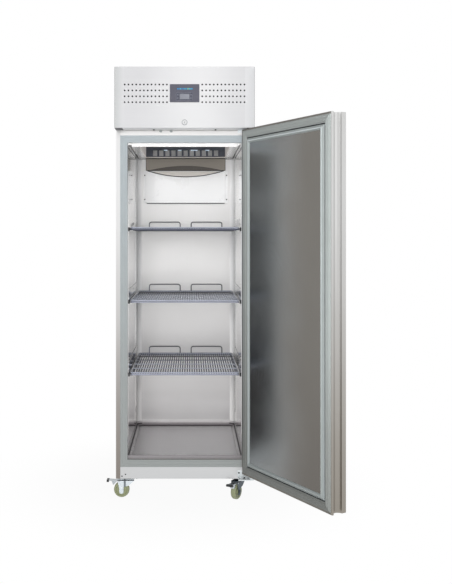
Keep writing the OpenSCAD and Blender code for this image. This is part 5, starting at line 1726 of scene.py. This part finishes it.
@dataclass
class WireShelf:
    """One coated wire shelf, built from round rod.

    Attributes:
        bench: where it is finished.
        node: the CAD node that it replaces.
        z: height of its top.
        low_look: finish of its lower rim, a darker copy of the coating as painted shade.
        half_w: half its width.
        y0: its front.
        y1: its back.
        rim_r: radius of the two rims.
        rim_drop: how far the lower rim's middle is under the top.
        corner: outer radius of the rims' corners.
        wires: how many deck wires it has.
        wire: radius of the deck wires and depth of their middle under the upper rim's.
        cross: how many cross rods it has.
        rod: radius of the cross rods and depth of their middle under the top.
        hoops: low X and high X of the stop hoops.
        hoop: radius, depth of the foot, height over the top and bend of a stop hoop.
    """

    bench: Bench
    node: str
    z: float
    low_look: str = "rim_low_shade"
    half_w: float = 0.264
    y0: float = -0.315
    y1: float = 0.335
    rim_r: float = 0.0036
    rim_drop: float = 0.0125
    corner: float = 0.020
    wires: int = 43
    wire: Pair = (0.0032, 0.003)
    cross: int = 4
    rod: Pair = (0.003, 0.0031)
    hoops: tuple[Pair, ...] = ((-0.204, -0.031), (0.031, 0.204))
    hoop: Quad = (0.00275, 0.006, 0.038, 0.012)

    def build(self) -> None:
        """Build rims, deck wires, cross rods and stop hoops as one piece."""
        bm = bmesh.new()
        done = 0
        for index, add in enumerate((self.upper_rim, self.lower_rim, self.deck, self.rods, self.stops)):
            add(bm)
            bm.faces.ensure_lookup_table()
            for face in bm.faces[done:]:
                face.material_index = index
            done = len(bm.faces)
        looks = ["rim", self.low_look, "wire", "cross", "hoop"]
        name = self.node + "_look"
        self.bench.finish(name, bm, looks, self.node, "coated_wire", (self.node,), 40.0, merge=False)

    def rim_at(self, bm: Mesh, z: float) -> None:
        """Add one rod that runs round the shelf.

        Args:
            bm: the mesh to add to.
            z: height of the rod's middle.
        """
        r = self.rim_r
        x, a, b = self.half_w - r, self.y0 + r, self.y1 - r
        bend_into(bm, [(-x, a, z), (x, a, z), (x, b, z), (-x, b, z)], r, self.corner - r, 12, closed=True)

    def upper_rim(self, bm: Mesh) -> None:
        """Add the rod round the shelf at its top."""
        self.rim_at(bm, self.z - self.rim_r)

    def lower_rim(self, bm: Mesh) -> None:
        """Add the rod round the shelf at its bottom."""
        self.rim_at(bm, self.z - self.rim_drop)

    def deck(self, bm: Mesh) -> None:
        """Add the deck wires, front to back.

        Args:
            bm: the mesh to add to.
        """
        radius, depth = self.wire
        half = self.half_w - self.rim_r
        pitch = 2 * half / (self.wires + 1)
        z = self.z - self.rim_r - depth
        for i in range(1, self.wires + 1):
            x = -half + i * pitch
            rod_into(bm, (x, self.y0 + self.rim_r, z), (x, self.y1 - self.rim_r, z), radius, 8)

    def rods(self, bm: Mesh) -> None:
        """Add the cross rods over the deck wires.

        Args:
            bm: the mesh to add to.
        """
        radius, depth = self.rod
        x = self.half_w - self.rim_r
        step = (self.y1 - self.y0) / (self.cross + 1)
        z = self.z - depth
        for i in range(1, self.cross + 1):
            y = self.y0 + i * step
            rod_into(bm, (-x, y, z), (x, y, z), radius, 12)

    def stops(self, bm: Mesh) -> None:
        """Add the hoops that stand at the back.

        Args:
            bm: the mesh to add to.
        """
        radius, depth, height, bend = self.hoop
        y = self.y1 - self.rim_r
        foot, top = self.z - depth, self.z + height - radius
        for x0, x1 in self.hoops:
            bend_into(bm, [(x0, y, foot), (x0, y, top), (x1, y, top), (x1, y, foot)], radius, bend, 10)


@dataclass
class CasterSet:
    """Four swivel casters under the cabinet.

    Attributes:
        bench: where its pieces are finished.
        places: the names of the four places.
        forks: finishes of the forks that aren't plain zinc: on the left a lighter copy with a dark band,
            painted light and shade, and on the right a darker copy, painted shade.
        race: height of the ball race on top of a fork, which takes painted shade.
        crown: bottom and top of the fold where the legs leave the crown, which takes painted shade.
        swivel: X and Y of the front right swivel pin.
        pedals: side and angle in degrees at which each brake pedal points.
        toe_at: how far from the swivel pin the pedal's black toe cap begins.
    """

    bench: Bench
    places: tuple[str, ...] = ("front_left", "front_right", "rear_left", "rear_right")
    forks: dict[str, str] = field(
        default_factory=lambda: {"front_left": "fork_left_painted", "front_right": "shaded_zinc"}
    )
    race: float = 0.004
    crown: Pair = (0.082, 0.088)
    swivel: Pair = (0.268, -0.285)
    pedals: tuple[tuple[str, int, float], ...] = (("left", -1, 180.0), ("right", 1, 239.0))
    toe_at: float = 0.101

    def build(self) -> None:
        """Dress plates, forks, wheels and brake pedals."""
        b = self.bench
        # The caster plates take painted shade under the rail.
        b.polish("caster_plates", ["plate"], "zinc_plate", 0.5)
        for place in self.places:
            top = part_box(f"fork_{place}")[1].z - self.race
            looks = [self.forks.get(place, "zinc"), "plate"]
            cuts = [level(z) for z in (*self.crown, top)]
            b.polish(f"fork_{place}", looks, "zinc_plate", 0.5, pick=self.shaded(top), cuts=cuts)
            b.polish(f"wheel_{place}", ["nylon"], "nylon_wheel", 0.5)
        for name, side, turn in self.pedals:
            toe = self.toe(side, turn)
            b.polish(f"brake_pedal_{name}", ["zinc", "black"], "zinc_plate", 0.5, pick=toe)

    def shaded(self, top: float) -> Pick:
        """Make the test that finds a fork's ball race and the fold of its crown, which take painted shade.

        Args:
            top: height over which the race begins.

        Returns:
            The test of a face's middle and normal.
        """
        low, high = self.crown

        def pick(middle: Vector, normal: Vector) -> int:
            """Return 1 on the race and the fold and 0 elsewhere."""
            return int(middle.z > top or low < middle.z < high)

        return pick

    def toe(self, side: int, turn: float) -> Pick:
        """Make the test that finds the black toe cap of a pedal.

        Args:
            side: -1 for the left pedal and 1 for the right one.
            turn: angle in degrees at which it points.

        Returns:
            The test of a face's middle and normal.
        """
        x, y = self.swivel
        swivel = Vector((side * x, y, 0.0))
        way = Vector((math.cos(math.radians(turn)), math.sin(math.radians(turn)), 0.0))

        def pick(middle: Vector, normal: Vector) -> int:
            """Return 1 on the toe cap and 0 elsewhere."""
            return int((middle - swivel).dot(way) > self.toe_at)

        return pick


# ---------------------------------------------------------------- studio


@dataclass
class Studio:
    """Camera, lamps, world and floor.

    Attributes:
        eye: place of the camera.
        lens: focal length in millimetres.
        film: width of the film in millimetres.
        shift: sideways and upward shift of the frame.
        ambient: strength of the world as a light, against 1 where it is seen or mirrored.
        lamps: name, place, aim, width and power of each lamp, and whether metal mirrors it.
        floor_half: half the floor's width.
        floor_near: distances from the middle between which the floor turns white.
        floor_share: how white the floor is before it turns.
    """

    eye: Point = (0.0303, -4.172, 1.264)
    lens: float = 49.3
    film: float = 36.0
    shift: Pair = (0.0599, -0.0950)
    ambient: float = 0.24
    lamps: tuple[tuple[str, Point, Point, float, float, bool], ...] = (
        ("front_lamp", (-0.5, -9.0, 2.0), (0.0, 0.0, 1.1), 3.0, 590.0, False),
        ("left_lamp", (-2.6, -3.6, 2.8), (0.0, 0.0, 1.2), 2.2, 7.0, True),
        ("right_lamp", (2.8, -3.4, 2.2), (0.2, -0.2, 1.1), 2.2, 5.0, True),
    )
    floor_half: float = 25.0
    floor_near: Pair = (0.3, 1.1)
    floor_share: float = 0.93

    def build(self) -> None:
        """Set up everything that isn't the object."""
        self.set_camera()
        self.set_world()
        self.set_lamps()
        self.lay_floor()
        bpy.context.scene.view_settings.view_transform = "Standard"

    def set_camera(self) -> None:
        """Make the camera that looks along +Y without pitch."""
        data = bpy.data.cameras.new("camera")
        data.lens = self.lens
        data.sensor_width = self.film
        data.sensor_fit = "AUTO"
        data.shift_x, data.shift_y = self.shift
        data.clip_end = 60.0
        cam = bpy.data.objects.new("camera", data)
        cam.location = self.eye
        cam.rotation_euler = (math.radians(90), 0, 0)
        bpy.context.scene.collection.objects.link(cam)
        bpy.context.scene.camera = cam

    def set_world(self) -> None:
        """Make a white world that lights the object softly."""
        world = bpy.data.worlds.new("studio")
        bpy.context.scene.world = world
        world.use_nodes = True
        g = Graph(world.node_tree)
        g.tree.nodes.clear()
        strength = g.remap(g.seen(), 0.0, 1.0, self.ambient, 1.0)
        back = g.add("Background", {"Color": (1, 1, 1, 1), "Strength": strength})
        out = g.add("OutputWorld")
        g.tree.links.new(back.outputs[0], out.inputs["Surface"])

    def set_lamps(self) -> None:
        """Hang a large soft lamp in front of the cabinet and a smaller one on either side."""
        for name, place, aim, size, power, glossy in self.lamps:
            data = bpy.data.lights.new(name, "AREA")
            data.shape = "SQUARE"
            data.size = size
            data.energy = power
            lamp = bpy.data.objects.new(name, data)
            lamp.location = place
            lamp.visible_glossy = glossy
            lamp.rotation_euler = (Vector(aim) - Vector(place)).to_track_quat("-Z", "Y").to_euler()
            bpy.context.scene.collection.objects.link(lamp)

    def lay_floor(self) -> None:
        """Lay a pale floor that keeps the shadow near the object and turns white far off."""
        bm = bmesh.new()
        bmesh.ops.create_grid(bm, x_segments=1, y_segments=1, size=self.floor_half)
        mesh = bpy.data.meshes.new("floor")
        bm.to_mesh(mesh)
        bm.free()
        floor = bpy.data.objects.new("floor", mesh)
        bpy.context.scene.collection.objects.link(floor)
        m = MaterialGraph("pale_floor")
        cloud = m.effect(Effect.CLOUD, Size=1.5, Sharpness=0.3)["Mask"]
        m.set(Base_Color=m.mix(cloud, tint("f6f6f6"), tint("fafafa")), Roughness=0.9, Specular_IOR_Level=0.0)
        away = m.add("VectorMath", {0: m.place}, operation="LENGTH").outputs["Value"]
        white_share = m.remap(m.ease(away, *self.floor_near), 0.0, 1.0, self.floor_share, 1.0)
        share = m.math("MULTIPLY", m.seen(), white_share)
        white = m.add("Emission", {"Color": (1, 1, 1, 1), "Strength": 1.0})
        mixed = m.add("MixShader", {0: share, 1: m.shader.outputs[0], 2: white.outputs[0]})
        m.tree.links.new(mixed.outputs[0], m.tree.nodes["Material Output"].inputs["Surface"])
        mesh.materials.append(m.material)


# ---------------------------------------------------------------- making


def main() -> None:
    """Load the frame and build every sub-assembly."""
    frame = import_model()
    bench = Bench(frame, PaintShop())
    Studio().build()
    shelves = (
        WireShelf(bench, "shelf_top", 1.310, "rim_shade"),
        WireShelf(bench, "shelf_middle", 0.960),
        WireShelf(bench, "shelf_bottom", 0.610),
    )
    for part in (
        Cabinet(bench), RearDuct(bench), CoolingUnit(bench), Hood(bench), DoorLeaf(bench), *shelves,
        CasterSet(bench),
    ):
        part.build()
        log.info("built %s", type(part).__name__)


if __name__ == "__main__":
    logging.basicConfig(level=logging.INFO)
    main()
